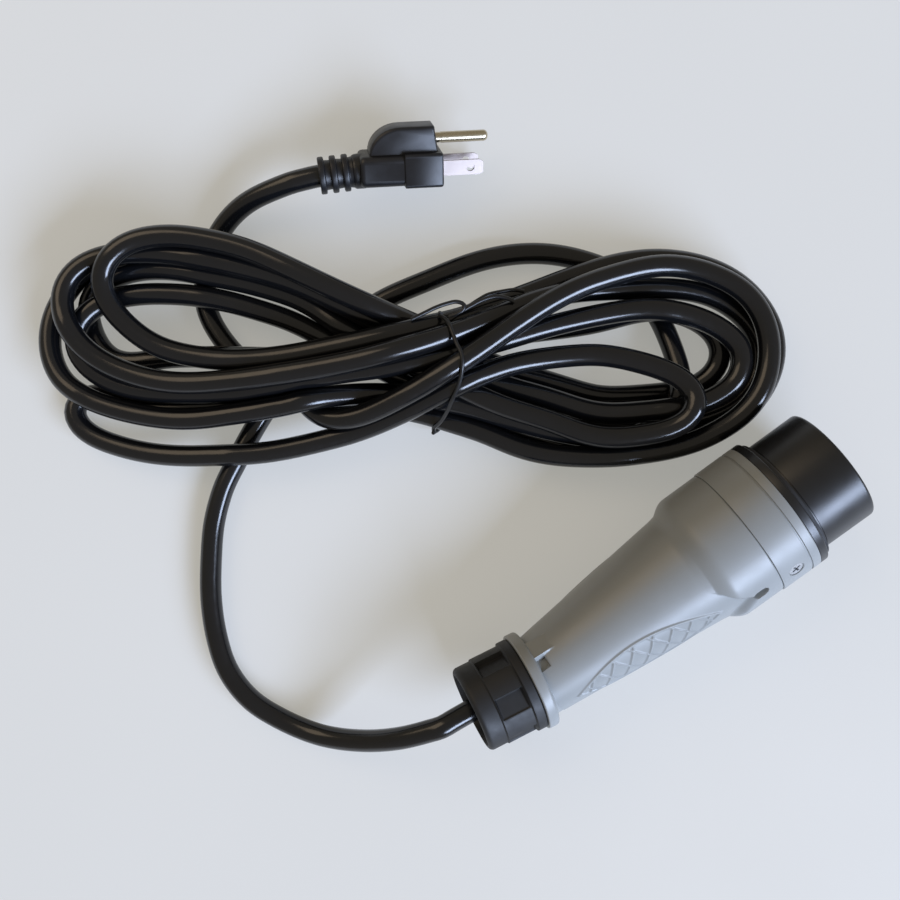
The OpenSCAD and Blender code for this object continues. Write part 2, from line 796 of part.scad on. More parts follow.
module blade(way) {
    slot = blade_root;
    nose = 1.6;
    color("#c7c3bb") at_plug()
        translate([plug_len - slot, 0, way * blade_pitch / 2 - blade_t / 2])
            difference() {
                linear_extrude(blade_t) polygon([
                    [0, -blade_w / 2], [slot + blade_len - nose, -blade_w / 2],
                    [slot + blade_len, -blade_w / 2 + nose * 0.6],
                    [slot + blade_len, blade_w / 2 - nose * 0.6],
                    [slot + blade_len - nose, blade_w / 2], [0, blade_w / 2]
                ]);
                translate([slot + blade_len - 5.6, 0, -cut]) cylinder(d = blade_hole_d, h = blade_t + 2 * cut);
            }
}

module plug_line_blade() blade(1);
module plug_neutral_blade() blade(-1);

module plug_earth_pin() {
    round_r = 1.9;
    long = pin_root + pin_len;
    neck_to = pin_root + 0.3;
    color("#c8b078") at_plug()
        translate([plug_len - pin_root, pin_off, 0])
            rotate([0, 90, 0])
                rotate_extrude($fn = 48) polygon(concat(
                    [
                        [0, 0], [pin_d / 2 - pin_neck, 0],
                        [pin_d / 2 - pin_neck, neck_to], [pin_d / 2, neck_to]
                    ],
                    arc([pin_d / 2 - round_r, long - round_r], round_r, 0, 90, 5),
                    [[0, long]]
                ));
}

module cord_gland_tail() {
    inside = [for (t = [jacket_t + fit, nut_t, nut_end - 2]) lying(on_gland(t))];
    color("#17181a") tube(concat(inside, [for (p = gland_route) on_table(p)]), cord_r, 12);
}

module cord_bow() {
    color("#17181a") tube([for (p = bow_route) on_table(p)], cord_r, 12);
}

module cord_plug_tail() {
    inside = [for (x = [6 - relief_len, -relief_len - 2]) on_plug(turn_z([x, 0, 0], relief_bend) - [0, relief_low, 0])];
    color("#17181a") tube(concat(inside, [for (p = plug_route) on_table(p)]), cord_r, 12);
}

module hank_outline() {
    left_top = touch(hank_left, hank_waist, 1);
    left_low = touch(hank_left, hank_waist, -1);
    right_low = touch(hank_waist, hank_right, -1);
    end_low = touch(hank_right, hank_end, -1);
    end_top = touch(hank_waist, hank_end, 1);
    polygon(concat(
        arc(hank_left[0], hank_left[1], left_top, left_low + 360, 28),
        [crossing(hank_left, left_low, hank_waist, right_low)],
        arc(hank_right[0], hank_right[1], right_low, end_low, 4),
        arc(hank_end[0], hank_end[1], end_low + 6, end_top, 24),
        [crossing(hank_waist, end_top, hank_left, left_top)]
    ));
}

module cord_hank() {
    color("#17181a") table_frame() difference() {
        linear_extrude(hank_h) hank_outline();
        translate([tie_x - 2 * tie_d, 0, -cut])
            cube([4 * tie_d, 3 * hank_waist[1], tie_groove + cut]);
    }
}

// The tie goes once round the hank's waist, and its two ends are twisted off at the top edge.
module twist_tie() {
    r = tie_d / 2;
    far = r + seat + max([
        for (x = [tie_x, tie_x + 1])
            max(edge_y(hank_left, hank_waist, 1, x), edge_y(hank_waist, hank_end, 1, x))
    ]);
    near = min([
        for (x = [tie_x - 1, tie_x])
            min(edge_y(hank_left, hank_waist, -1, x), edge_y(hank_waist, hank_right, -1, x))
    ]) - r - seat;
    top = hank_h + r + seat;
    loop = [
        [tie_x, far, 16], [tie_x, far, top - 2], [tie_x + 0.6, far - 0.6, top - 0.5], [tie_x + 2, far - 2, top],
        [tie_x + 7, far - 18, top], [tie_x + 8, far - 30, top], [tie_x + 3, near + 10, top],
        [tie_x - 1, near + 2, top], [tie_x - 1, near + 0.6, top - 0.5], [tie_x - 1, near, top - 2],
        [tie_x - 1, near, 17],
        [tie_x, near, r + 3], [tie_x, near + 0.4, r + 0.8], [tie_x, near + 3, r + 0.2],
        [tie_x, far - 3, r + 0.2], [tie_x, far - 0.4, r + 0.8], [tie_x, far, r + 3], [tie_x, far, 15.5]
    ];
    ends = [
        [-17, far - 4, top], [-10, far + 1.6, top - 0.6], [-4, far + 2.4, top - 5], [2, far + 4, top - 8],
        [7, far + 4.4, top - 10], [13, far + 5.8, top - 11], [22, far + 8.2, top - 11.5],
        [33, far + 11, top - 12]
    ];
    color("#101113") {
        tube([for (p = loop) on_table(p)], r);
        tube([for (p = ends) on_table(p)], r);
    }
}

handle_shell();
head_ring();
ring_screws();
nose_barrel();
flange_seal();
contact_insert();
terminal_block();
contact_line();
contact_neutral();
contact_earth();
terminal_screws();
lead_line();
lead_neutral();
lead_earth();
gland_nut();
gland_clamp();
gland_seal();
plug_body();
plug_line_blade();
plug_neutral_blade();
plug_earth_pin();
twist_tie();
cord_gland_tail();
cord_bow();
cord_hank();
cord_plug_tail();
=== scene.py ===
# %% [markdown]
# A golf cart charging cable, seen from straight above
#
# The object is one loose cable: a large hand-held connector with a bent cable gland, a small mains
# plug, and nearly five metres of black cord folded into a figure-of-eight hank and tied at its waist.
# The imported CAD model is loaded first. Its places and sizes never change. What Blender adds round it
# is the true course of the cord, fine edges and patterns, and the finishes.

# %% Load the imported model
import math

import bmesh
import bpy
import numpy as np
from mathutils import Matrix, Vector


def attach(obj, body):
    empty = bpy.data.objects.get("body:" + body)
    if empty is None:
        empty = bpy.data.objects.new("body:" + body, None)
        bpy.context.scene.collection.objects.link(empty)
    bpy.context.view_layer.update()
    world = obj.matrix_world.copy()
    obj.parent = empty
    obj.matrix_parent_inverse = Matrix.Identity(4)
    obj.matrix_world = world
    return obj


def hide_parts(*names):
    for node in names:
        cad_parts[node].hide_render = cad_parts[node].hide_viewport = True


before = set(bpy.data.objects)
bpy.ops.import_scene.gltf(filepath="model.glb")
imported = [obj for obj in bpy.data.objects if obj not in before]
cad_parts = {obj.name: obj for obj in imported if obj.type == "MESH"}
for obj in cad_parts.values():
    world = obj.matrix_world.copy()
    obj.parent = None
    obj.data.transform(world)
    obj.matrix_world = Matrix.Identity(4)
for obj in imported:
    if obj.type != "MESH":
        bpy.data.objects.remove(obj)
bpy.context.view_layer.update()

# %% [markdown]
# Where things lie
#
# Four frames are enough. The row frame has its origin under the middle of the connector. The
# connector lies rolled on its axis with its nose a little up, its gland leaves at a bend, the table has
# its own directions that follow the picture, and the plug lies tilted on its earth pin. Each frame is
# a matrix, so every piece below can be drawn upright in plain millimetres and laid down afterwards.

# %% Frames
MM = 0.001
RING_R = 29.9
BELL_R = RING_R - 0.4
BELL_LEN = 17
NOSE_R = 25.8
BEND_X = -104
NOSE_FRONT = 48.6
NUT_T = 7
NUT_END = 33.6
NUT_ROUND = 2.2
NUT_REAR_R = 18.6
LIE_ROLL = 44
LIE_TILT = 2.5
GLAND_BEND = 17
PICTURE_TURN = 36.5


def turn(axis, degrees):
    return Matrix.Rotation(math.radians(degrees), 4, axis)


def shift(x, y, z):
    return Matrix.Translation((x, y, z))


tilt, bend = math.radians(LIE_TILT), math.radians(GLAND_BEND)
lie_lift = BELL_R * math.cos(tilt) + BELL_LEN * math.sin(tilt)
gland_back = (NUT_END - NUT_ROUND) * math.cos(bend) + NUT_REAR_R * math.sin(bend)
lie_x = (gland_back - BEND_X - NOSE_FRONT) / 2 - 0.3

CONNECTOR = shift(lie_x, 0, lie_lift) @ turn("Y", -LIE_TILT) @ turn("X", -LIE_ROLL)
GLAND = CONNECTOR @ shift(BEND_X, 0, 0) @ turn("Y", GLAND_BEND - 90)
TABLE = turn("Z", -PICTURE_TURN) @ shift(-86, 61.6, 0)
PLUG = TABLE @ shift(-39.8, 123, 17.5) @ turn("Z", 4.9) @ turn("Y", 7) @ turn("X", 29)
on_table = TABLE.inverted()
print("connector axis at", [round(v, 1) for v in CONNECTOR.translation])

# %% [markdown]
# The camera
#
# The picture was taken from straight above, a little under half a metre over the table, which is why
# the connector's far end looks smaller than its raised ring. With a 40 mm lens, a 36 mm sensor and a
# frame of 900 pixels, one pixel covers one thousandth of the distance to what it shows. The same rule
# is used further down to turn points read off the picture into table points.

# %% Camera
CAMERA_HIGH = 455
PIXELS_PER_UNIT = 1000
PICTURE_MIDDLE = 450

camera_data = bpy.data.cameras.new("camera")
camera_data.lens = 40
camera_data.sensor_width = 36
camera_data.clip_start = 0.01
camera = bpy.data.objects.new("camera", camera_data)
camera.location = (TABLE @ Vector((0, 0, CAMERA_HIGH))) * MM
camera.rotation_euler = (0, 0, math.radians(-PICTURE_TURN))
bpy.context.collection.objects.link(camera)
bpy.context.scene.camera = camera
bpy.context.scene.view_settings.view_transform = "Standard"
print("camera at", [round(v, 3) for v in camera.location])

# %% [markdown]
# The cord's course
#
# The cord leaves the gland, swings round on the table, bows out over the hank, runs through seven
# figure-of-eight loops, and ends in the plug. A hank is hard to draw by formula, because each loop was
# laid by hand. It could be a cloth or rope simulation, but then the loops would fall where they like.
# Here each stretch is read off the picture as pixel x, pixel y and level, where level counts
# the cords that lie beneath and is left out where there are none. That keeps every visible strand in
# its place.

# %% Stretches of the cord, from the plug to the gland
CORD_D = 9.6
CORD_R = CORD_D / 2
LEVEL_HIGH = 7.6

plug_tail = [
    (-70, 116.6, 18), (-80, 113.6, 15), (-89, 110.2, 11.5), (-97, 105, 8), (-103, 98.4, 5.6), (-107.5, 90, 4.8),
]
from_plug = [
    (205, 283), (205, 304), (212, 321), (231, 350), (246, 364), (262, 374), (279, 381), (293, 389),
    (304, 401), (313, 412), (325, 418, 0.1), (341, 419, 0.3), (360, 416, 0.8), (380, 408, 1.6),
    (400, 398, 2.4), (425, 384, 3.2), (450, 368, 4), (475, 352, 4), (500, 335, 4), (540, 308, 3.6),
    (580, 287, 3.2), (620, 274, 3), (650, 267, 2.7),
]
outer_right = [
    (675, 266, 2.4), (700, 271, 2.2), (720, 278, 2), (738, 288, 2), (752, 301, 2), (761, 315, 2),
    (767, 331, 2), (769, 348, 2), (768, 367, 2), (763, 385, 2), (756, 399, 2), (745, 411, 2), (731, 423, 2),
    (715, 432, 2), (698, 440, 2), (680, 446, 1.7), (660, 450, 1.4), (640, 453, 1), (600, 456, 0.3),
    (560, 455), (520, 447), (480, 429), (440, 416), (400, 408), (350, 401), (300, 399), (250, 403),
    (200, 406), (160, 408), (130, 404), (108, 398),
]
low_left = [
    (93, 394), (82, 396), (76, 403), (74, 413), (78, 423), (86, 431), (100, 438), (120, 446), (150, 453),
    (190, 456), (220, 455), (250, 454, 0.5), (275, 451, 0.4), (300, 446, 0.4), (325, 440, 0.6), (350, 433, 1),
    (375, 424, 1.6), (400, 413, 2.4), (425, 401, 2.8), (450, 388, 3), (475, 378, 3), (500, 368, 3),
    (525, 362, 2.6),
]
inner_right_hairpin = [
    (550, 358, 2.2), (575, 356, 2), (600, 355, 1.9), (620, 358, 1.8), (640, 363, 1.8), (660, 369, 1.8),
    (680, 379, 1.8), (692, 390, 1.8), (697, 403, 1.8), (692, 415, 1.8), (680, 424, 1.8), (660, 431, 1.8),
    (640, 435, 1.8), (600, 437, 1.7),
]
inner_left = [
    (300, 297, 1.1), (275, 290, 0.8), (250, 283, 0.5), (200, 274, 0.2), (170, 269), (140, 270), (115, 276),
    (98, 286), (90, 297), (88, 309), (91, 322), (95, 335), (101, 347), (111, 358), (126, 363), (143, 361),
    (165, 358, 0.3), (200, 357, 0.6), (250, 358, 1), (300, 358, 1.2), (350, 354, 1.6), (400, 350, 2),
    (450, 343, 2.1), (500, 336, 2), (550, 330, 1.7), (600, 322, 1.1),
]
inner_right = [
    (640, 312, 0.8), (670, 312, 0.6), (695, 321, 0.3), (712, 333, 0.1), (720, 347), (719, 362), (711, 374),
    (698, 384), (680, 390), (650, 394), (620, 396), (600, 396),
]
top_left = [
    (300, 274, 2.2), (275, 262, 1.9), (250, 251, 1.6), (225, 244, 1.4), (200, 239, 1.2), (175, 236, 1.2),
    (150, 238, 1.2), (130, 243, 1.2), (117, 251, 1.2), (107, 263, 1.2), (102, 277, 1.2), (104, 292, 1.2),
    (111, 306, 1.2), (124, 321, 1.2), (137, 333, 1.2), (153, 344, 1.2), (175, 352, 1.3), (200, 357, 1.4),
    (230, 360, 1.6), (260, 359, 1.8), (280, 357, 2), (300, 354, 2.2), (340, 346, 2.6), (380, 338, 3),
    (400, 333, 3.1), (430, 327, 3.2), (460, 319, 3), (500, 305, 2.8), (540, 290, 2.2), (570, 279, 1.8),
]
second_right = [
    (600, 269, 1.5), (630, 262, 1.2), (665, 260, 1), (700, 266, 1), (725, 276, 1), (745, 290, 1),
    (760, 308, 1), (770, 326, 1), (774, 345, 1), (772, 365, 1), (766, 383, 1), (754, 400, 1), (738, 417, 1),
    (716, 430, 1), (690, 440, 0.9), (660, 447, 0.7), (630, 449, 0.4), (600, 446, 0.2),
]
middle_left = [
    (300, 325, 1), (280, 317, 0.9), (260, 311, 0.7), (230, 302, 0.8), (200, 297, 0.8), (170, 294), (140, 295),
    (112, 300), (90, 311), (79, 326), (76, 343), (83, 360), (97, 373), (115, 383), (135, 389),
    (155, 392, 0.3), (180, 393, 0.4), (220, 393, 0.9), (260, 390, 1.3), (300, 381, 1.4), (350, 371, 1.8),
    (400, 362, 2.2), (450, 352, 2.3), (500, 340, 2.2), (550, 326, 2),
]
third_right = [
    (600, 315, 1.8), (625, 311, 1.7), (650, 309, 1.6), (675, 312, 1.4), (700, 319, 1.1), (718, 328, 1),
    (732, 339, 1), (741, 352, 1), (742, 365, 0.8), (736, 379, 0.8), (724, 391, 0.8), (706, 401, 0.9),
    (685, 407, 0.9), (650, 411, 0.9), (620, 413, 0.8), (600, 413, 0.7),
]
second_left = [
    (300, 285, 1.8), (275, 276, 1.5), (250, 269, 1.3), (220, 262, 1.1), (190, 256, 1), (160, 253, 1),
    (130, 253, 1), (105, 257, 1), (83, 266, 1), (69, 280, 1), (63, 296, 1), (64, 313, 1), (71, 331, 1),
    (84, 347, 1), (104, 362, 1), (130, 373, 1), (155, 380, 1.1), (180, 383, 1.2), (210, 382, 1.4),
    (250, 378, 1.8), (300, 371, 2), (340, 364, 2.2), (370, 358, 2.4), (400, 350, 2.9), (440, 339, 3.3),
    (470, 328, 3.4), (510, 311, 3), (545, 298, 2.2), (575, 292, 1.8), (605, 290, 1.6), (640, 289, 1.5),
]
fourth_right = [
    (670, 289, 1.4), (700, 293, 1.2), (728, 305, 1), (747, 322, 1), (758, 341, 0.8), (760, 360, 0.4),
    (757, 378, 0.2), (748, 393), (734, 406), (715, 415), (690, 421), (650, 425), (620, 425), (600, 424),
]
outer_left = [
    (300, 289, 0.9), (275, 276, 0.7), (250, 263, 0.6), (220, 255, 0.4), (190, 250, 0.2), (160, 248),
    (132, 253), (112, 260), (90, 272), (73, 288), (60, 306), (52, 326, 0.1), (51, 345, 0.3), (55, 366, 0.6),
    (68, 385, 1), (84, 396, 1.1), (102, 404, 1.1), (125, 411, 1), (150, 416, 1), (190, 419, 1), (220, 415, 1),
    (250, 410, 1), (300, 399, 1.1), (350, 394, 0.9), (400, 395, 0.9), (450, 402, 0.8), (500, 416, 0.8),
    (550, 430, 0.8), (600, 438),
]
back_and_bow = [
    (630, 437), (652, 429), (669, 415), (679, 398), (681, 380), (677, 365), (673, 352), (667, 335),
    (660, 320), (652, 307), (640, 292), (622, 277), (603, 268), (580, 260), (560, 255.5), (535, 253.5),
    (520, 254), (500, 256.5), (480, 261), (460, 267.5), (440, 275.5), (420, 284), (400, 292), (375, 305),
    (355, 320), (335, 338), (310, 362), (290, 382), (272, 403), (260, 421), (247, 442),
]
gland_tail = [
    (-97.5, -8, 4.8), (-101.5, -16, 4.8), (-106, -32, 4.8), (-107.5, -49, 4.8), (-107.5, -67, 4.8),
    (-105, -84, 4.8), (-100, -99, 4.8), (-90, -112, 4.8), (-76, -121, 5), (-58, -127, 9), (-39, -127, 18),
    (-21, -123, 28), (-4, -117, 34),
]


def crossing(left, right, low, middle, high):
    """An arm that passes beneath the waist, from pixel row right to pixel row left."""
    shares = [
        (575, 0.95, high), (550, 0.885, high), (500, 0.77, middle), (450, 0.6, middle), (400, 0.4, middle),
        (350, 0.2, low),
    ]
    return [(x, left + (right - left) * share, level) for x, share, level in shares]


def seen(x, y, level=0):
    """The table point in millimetres under a pixel, at the height of that level."""
    z = CORD_R + LEVEL_HIGH * level
    away = (CAMERA_HIGH - z) / PIXELS_PER_UNIT
    return [(x - PICTURE_MIDDLE) * away, (PICTURE_MIDDLE - y) * away, z]


hank_stretches = [
    from_plug, outer_right, low_left, inner_right_hairpin, crossing(297, 437, 1.2, 0.9, 1.2), inner_left,
    inner_right, crossing(274, 396, 1.9, 1.6, 0.4), top_left, second_right, crossing(327, 456, 1.1, 0.1, 0.1),
    middle_left, third_right, crossing(285, 413, 1.7, 1.3, 0.5), second_left, fourth_right,
    crossing(288, 424, 0.9, 0.6, 0.1), outer_left, back_and_bow,
]
route = [list(p) for p in plug_tail]
route += [seen(*p) for stretch in hank_stretches for p in stretch]
route += [list(p) for p in gland_tail]
print("the cord's route has", len(route), "points")

# %% [markdown]
# From points to a cord that lies
#
# A spline through the points gives a smooth line, but strands still cut through each other, because a
# level is only a rough height. A short settling loop mends that. In each round the strands sink a
# little, any two that come closer than one diameter push each other apart, mostly upwards, and the
# shift from the plan is drawn back along the line of sight and evened out along the cord, so that it
# stays as stiff as a cord is. Where the wire tie passes beneath, the floor is raised by its thickness.
# The result is close but not exact: at the worst place two strands still overlap by 0.8 mm.

# %% Spline and settling
POINT_STEP = 3.2
TIE_R = 0.9
TIE_X, TIE_Y = -5, 32
SETTLE_ROUNDS = 300
SINK_STEP = 0.12


def length_along(line):
    """How far along a line each of its points lies."""
    return np.concatenate([[0], np.cumsum(np.linalg.norm(np.diff(line, axis=0), axis=1))])


def even_steps(line, step):
    """The same line with evenly spaced points."""
    run = length_along(line)
    stops = np.linspace(0, run[-1], int(round(run[-1] / step)) + 1)
    return np.column_stack([np.interp(stops, run, line[:, k]) for k in range(3)])


def spline(points, step):
    """A centripetal Catmull-Rom curve, evenly spaced, and where in the list each of its points is."""
    p = np.array(points, float)
    q = np.vstack([2 * p[0] - p[1], p, 2 * p[-1] - p[-2]])
    line, owner = [], []
    for i in range(1, len(q) - 2):
        a, b, c, d = q[i - 1], q[i], q[i + 1], q[i + 2]
        count = max(2, int(np.linalg.norm(c - b) / 0.8))
        t1 = np.linalg.norm(b - a) ** 0.5
        t2 = t1 + np.linalg.norm(c - b) ** 0.5
        t3 = t2 + np.linalg.norm(d - c) ** 0.5
        for k in range(count):
            t = t1 + (t2 - t1) * k / count
            ab = (t1 - t) / t1 * a + t / t1 * b
            bc = (t2 - t) / (t2 - t1) * b + (t - t1) / (t2 - t1) * c
            cd = (t3 - t) / (t3 - t2) * c + (t - t2) / (t3 - t2) * d
            abc = (t2 - t) / t2 * ab + t / t2 * bc
            bcd = (t3 - t) / (t3 - t1) * bc + (t - t1) / (t3 - t1) * cd
            line.append((t2 - t) / (t2 - t1) * abc + (t - t1) / (t2 - t1) * bcd)
            owner.append(i - 1 + k / count)
    line.append(q[-2])
    owner.append(len(p) - 1)
    line = np.array(line)
    run = length_along(line)
    stops = np.linspace(0, run[-1], int(round(run[-1] / step)) + 1)
    even = np.column_stack([np.interp(stops, run, line[:, k]) for k in range(3)])
    return even, np.interp(stops, run, owner)


def smoothed(values, free, steps):
    """Each point moves towards the middle of its neighbours, at the distances and weights in steps."""
    for k, weight in steps:
        middle = np.zeros_like(values)
        middle[k:-k] = 0.5 * (values[:-2 * k] + values[2 * k:]) - values[k:-k]
        values = values + weight * middle * free
    return values


def floor_under(p):
    """The lowest height of a strand's middle: the table, or the tie where it passes beneath."""
    near_tie = np.exp(-((p[:, 0] - TIE_X) / 12) ** 2) * (np.abs(p[:, 1] - TIE_Y) < 34)
    return CORD_R + 2 * TIE_R * near_tie


def settle(line, free):
    plan = line[:, :2].copy()
    for _ in range(6):
        plan = smoothed(plan, free, [(1, 0.5), (2, 0.5)])
        plan = smoothed(plan, free, [(2, -0.52), (1, -0.52)])
    sight = plan / (CAMERA_HIGH - line[:, 2:])
    p = np.column_stack([plan, np.where(free[:, 0] > 0, CORD_R + (line[:, 2] - CORD_R) * 1.5, line[:, 2])])
    own_reach = math.ceil(2.2 * CORD_D / POINT_STEP)
    # Sideways places are read off the picture, so strands are pushed apart mostly upwards.
    mostly_up = np.array([0.4, 0.4, 1.2])
    for k in range(SETTLE_ROUNDS):
        late = k > 0.7 * SETTLE_ROUNDS
        q = p.copy()
        q[:, 2] -= 0 if late else SINK_STEP
        home = sight * (CAMERA_HIGH - q[:, 2:])
        off = (q[:, :2] - home) * (0.92 if late else 0.88)
        q[:, :2] = home + smoothed(off, free, [(1, 0.5), (2, 0.35), (4, 0.2)])
        q[:, 2:] = smoothed(q[:, 2:], free, [(1, 0.3), (2, 0.2), (4, 0.12)])
        # Pairs that may soon touch. Neighbours along the cord don't count.
        if k % 5 == 0:
            squared = sum((q[:, None, axis] - q[None, :, axis]) ** 2 for axis in range(3))
            first, second = np.where(squared < (1.35 * CORD_D) ** 2)
            apart = second - first > own_reach
            first, second = first[apart], second[apart]
        for _ in range(6 if late else 3):
            gap = q[second] - q[first]
            length = np.maximum(np.linalg.norm(gap, axis=1), 1e-6)
            hit = length < CORD_D
            push = (0.5 * (CORD_D - length[hit]) / length[hit])[:, None] * gap[hit] * mostly_up
            moved, count = np.zeros_like(q), np.zeros(len(q))
            np.add.at(moved, first[hit], -push)
            np.add.at(moved, second[hit], push)
            np.add.at(count, first[hit], 1)
            np.add.at(count, second[hit], 1)
            q += 1.3 * moved / np.maximum(count, 1)[:, None] * free
            q[:, 2] = np.maximum(q[:, 2], np.where(free[:, 0] > 0, floor_under(q), 0))
        p = np.where(free > 0, q, p)
    return p


line, owner = spline(route, POINT_STEP)
loose = (owner > len(plug_tail) + 0.5) & (owner < len(route) - len(gland_tail) - 0.5)
hank_line = settle(line, loose.astype(float)[:, None])
print("the hank is", round(hank_line[loose, 2].max() + CORD_R, 1), "mm high")

# %% [markdown]
# Small helpers for meshes and materials
#
# Every piece is built from rows and columns of points, as a lathe or a wrapped sheet is, so one
# function that joins a grid of points serves them all. Points are written in millimetres in a piece's
# own upright frame. The piece then gets smooth shading with crisp edges above an angle, which is
# what a real moulding shows: soft surfaces and small bright edges.

# %% Mesh helpers
def grid_faces(rows, columns, close_rows=False, close_columns=True):
    faces = []
    for i in range(rows if close_rows else rows - 1):
        for j in range(columns if close_columns else columns - 1):
            up, along = (i + 1) % rows, (j + 1) % columns
            faces.append((i * columns + j, up * columns + j, up * columns + along, i * columns + along))
    return faces


def capped_grid(rows, columns):
    """The faces of a tube with both ends closed."""
    first, last = range(columns), range((rows - 1) * columns, rows * columns)
    return grid_faces(rows, columns) + [tuple(reversed(first)), tuple(last)]


def moved(points, matrix):
    m = np.array(matrix)
    return np.asarray(points, float) @ m[:3, :3].T + m[:3, 3]


def joined(parts):
    """One list of points and one of faces, from several pairs of them."""
    points, faces = [], []
    for part_points, part_faces in parts:
        start = sum(len(p) for p in points)
        points.append(np.array(part_points))
        faces += [tuple(start + v for v in face) for face in part_faces]
    return np.concatenate(points), faces


def closed_sheet(along, radius, inner):
    """A wrapped sheet with the hidden rows (along, radius) that close its skin."""
    columns = along.shape[1]
    all_along = np.concatenate([along, [[x] * columns for x, _ in inner]])
    all_radius = np.concatenate([radius, [[r] * columns for _, r in inner]])
    return all_along, all_radius


def piece(name, points, faces, place, material, stands_for=(), crisp=32):
    mesh = bpy.data.meshes.new(name)
    mesh.from_pydata((moved(points, place) * MM).tolist(), [], faces)
    work = bmesh.new()
    work.from_mesh(mesh)
    bmesh.ops.remove_doubles(work, verts=work.verts, dist=0.002 * MM)
    bmesh.ops.recalc_face_normals(work, faces=work.faces)
    work.to_mesh(mesh)
    work.free()
    mesh.shade_smooth()
    mesh.set_sharp_from_angle(angle=math.radians(crisp))
    mesh.materials.append(material)
    obj = bpy.data.objects.new(name, mesh)
    bpy.context.collection.objects.link(obj)
    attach(obj, "root")
    if stands_for:
        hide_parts(*stands_for)
    print(name, len(mesh.polygons), "faces")
    return obj


def rounded_outline(corners, steps=4):
    """A closed outline from corners (along, radius, rounding), each corner rounded by a short curve."""
    points = []
    for k, (x, r, rounding) in enumerate(corners):
        here = np.array([x, r], float)
        before = np.array(corners[k - 1][:2], float) - here
        after = np.array(corners[(k + 1) % len(corners)][:2], float) - here
        if rounding == 0:
            points.append(here)
            continue
        a = here + before / np.linalg.norm(before) * min(rounding, 0.45 * np.linalg.norm(before))
        b = here + after / np.linalg.norm(after) * min(rounding, 0.45 * np.linalg.norm(after))
        for t in np.linspace(0, 1, steps + 1):
            points.append((1 - t) ** 2 * a + 2 * t * (1 - t) * here + t * t * b)
    return points


def lathe(outline, steps=128, axis="X"):
    """Turns a closed outline of (along, radius) about an axis."""
    angles = np.linspace(0, 2 * math.pi, steps, endpoint=False)
    points = []
    for along, r in outline:
        for a in angles:
            y, z = r * math.sin(a), r * math.cos(a)
            points.append((along, y, z) if axis == "X" else (y, z, along))
    return points, grid_faces(len(outline), steps, close_rows=True)


def ramp(value, soft):
    """0 below -soft, 1 above soft, and a smooth rise between."""
    t = np.clip((value + soft) / (2 * soft), 0, 1)
    return t * t * (3 - 2 * t)


# %% [markdown]
# Colours and shader nodes
#
# Colours are written as sRGB hex, as a paint chart gives them, and turned to the linear values that a
# shader works with by one function. A second small function adds a shader node, sets its values and
# links what comes from other nodes. A third works out how often a pattern repeats for a size in
# millimetres.

# %% Colour and node helpers
def linear(hex_colour):
    parts = [int(hex_colour[k:k + 2], 16) / 255 for k in (1, 3, 5)]
    return [c / 12.92 if c <= 0.04045 else ((c + 0.055) / 1.055) ** 2.4 for c in parts] + [1]


def per_size(millimetres):
    """Pattern repeats in one metre."""
    return 1 / (millimetres * MM)


def node(material, kind, values=None, **settings):
    made = material.node_tree.nodes.new("ShaderNode" + kind)
    for name, setting in settings.items():
        setattr(made, name, setting)
    for name, value in (values or {}).items():
        if isinstance(value, bpy.types.NodeSocket):
            material.node_tree.links.new(value, made.inputs[name])
        else:
            made.inputs[name].default_value = value
    return made


def new_material(name):
    material = bpy.data.materials.new(name)
    material.use_nodes = True
    material.node_tree.nodes.clear()
    return material


def finish_surface(material, values):
    surface = node(material, "BsdfPrincipled", values)
    node(material, "OutputMaterial", {"Surface": surface.outputs["BSDF"]})
    return material


def mottled(material, place, low, high, size, detail=4):
    """A colour that drifts between two hex colours over patches of the given size in millimetres."""
    noise = node(material, "TexNoise", {"Vector": place, "Scale": per_size(size), "Detail": detail})
    mix = node(material, "Mix", {0: noise.outputs["Fac"]}, data_type="RGBA")
    mix.inputs[6].default_value = linear(low)
    mix.inputs[7].default_value = linear(high)
    return mix.outputs[2]


def drift(material, place, low, high, size):
    """A roughness that drifts between two values over patches of the given size in millimetres."""
    noise = node(material, "TexNoise", {"Vector": place, "Scale": per_size(size), "Detail": 3})
    spread = node(material, "MapRange", {
        "Value": noise.outputs["Fac"], "From Min": 0.3, "From Max": 0.7, "To Min": low, "To Max": high,
    })
    return spread.outputs["Result"]


def grain(material, place, size, height, detail=2):
    """A bump of the given grain size and height, both in millimetres."""
    noise = node(material, "TexNoise", {"Vector": place, "Scale": per_size(size), "Detail": detail})
    bump = node(material, "Bump", {"Height": noise.outputs["Fac"], "Strength": 1.0, "Distance": height * MM})
    return bump.outputs["Normal"]


# %% [markdown]
# Plastics and rubber
#
# The handle is injection-moulded light grey ABS: satin, with a very fine spark-eroded grain that
# softens its highlights. The nose is black nylon from a polished tool. The gland nut is
# glass-filled nylon, which comes out of the mould duller and rougher. The plug and the cord's jacket
# are plasticised PVC: the plug satin, the jacket glossier, because it is extruded and not moulded.
# All have an IOR near 1.5.

# %% Plastics
def moulded(name, low, high, patch, rough_low, rough_high, grain_size, grain_high, ior=1.5):
    material = new_material(name)
    place = node(material, "TexCoord").outputs["Object"]
    return finish_surface(material, {
        "Base Color": mottled(material, place, low, high, patch),
        "Roughness": drift(material, place, rough_low, rough_high, patch / 2),
        "IOR": ior,
        "Normal": grain(material, place, grain_size, grain_high),
    })


# Light grey ABS. Its grain is drawn at 0.5 mm, coarser than the real one, so that it shows.
grey_abs = moulded("light_grey_abs", "#868989", "#8F9291", 30, 0.34, 0.44, 0.5, 0.012, 1.53)
# Black nylon with a satin skin, smooth enough for one long soft highlight.
black_nylon = moulded("satin_black_nylon", "#121315", "#17181A", 25, 0.30, 0.38, 0.4, 0.006, 1.53)
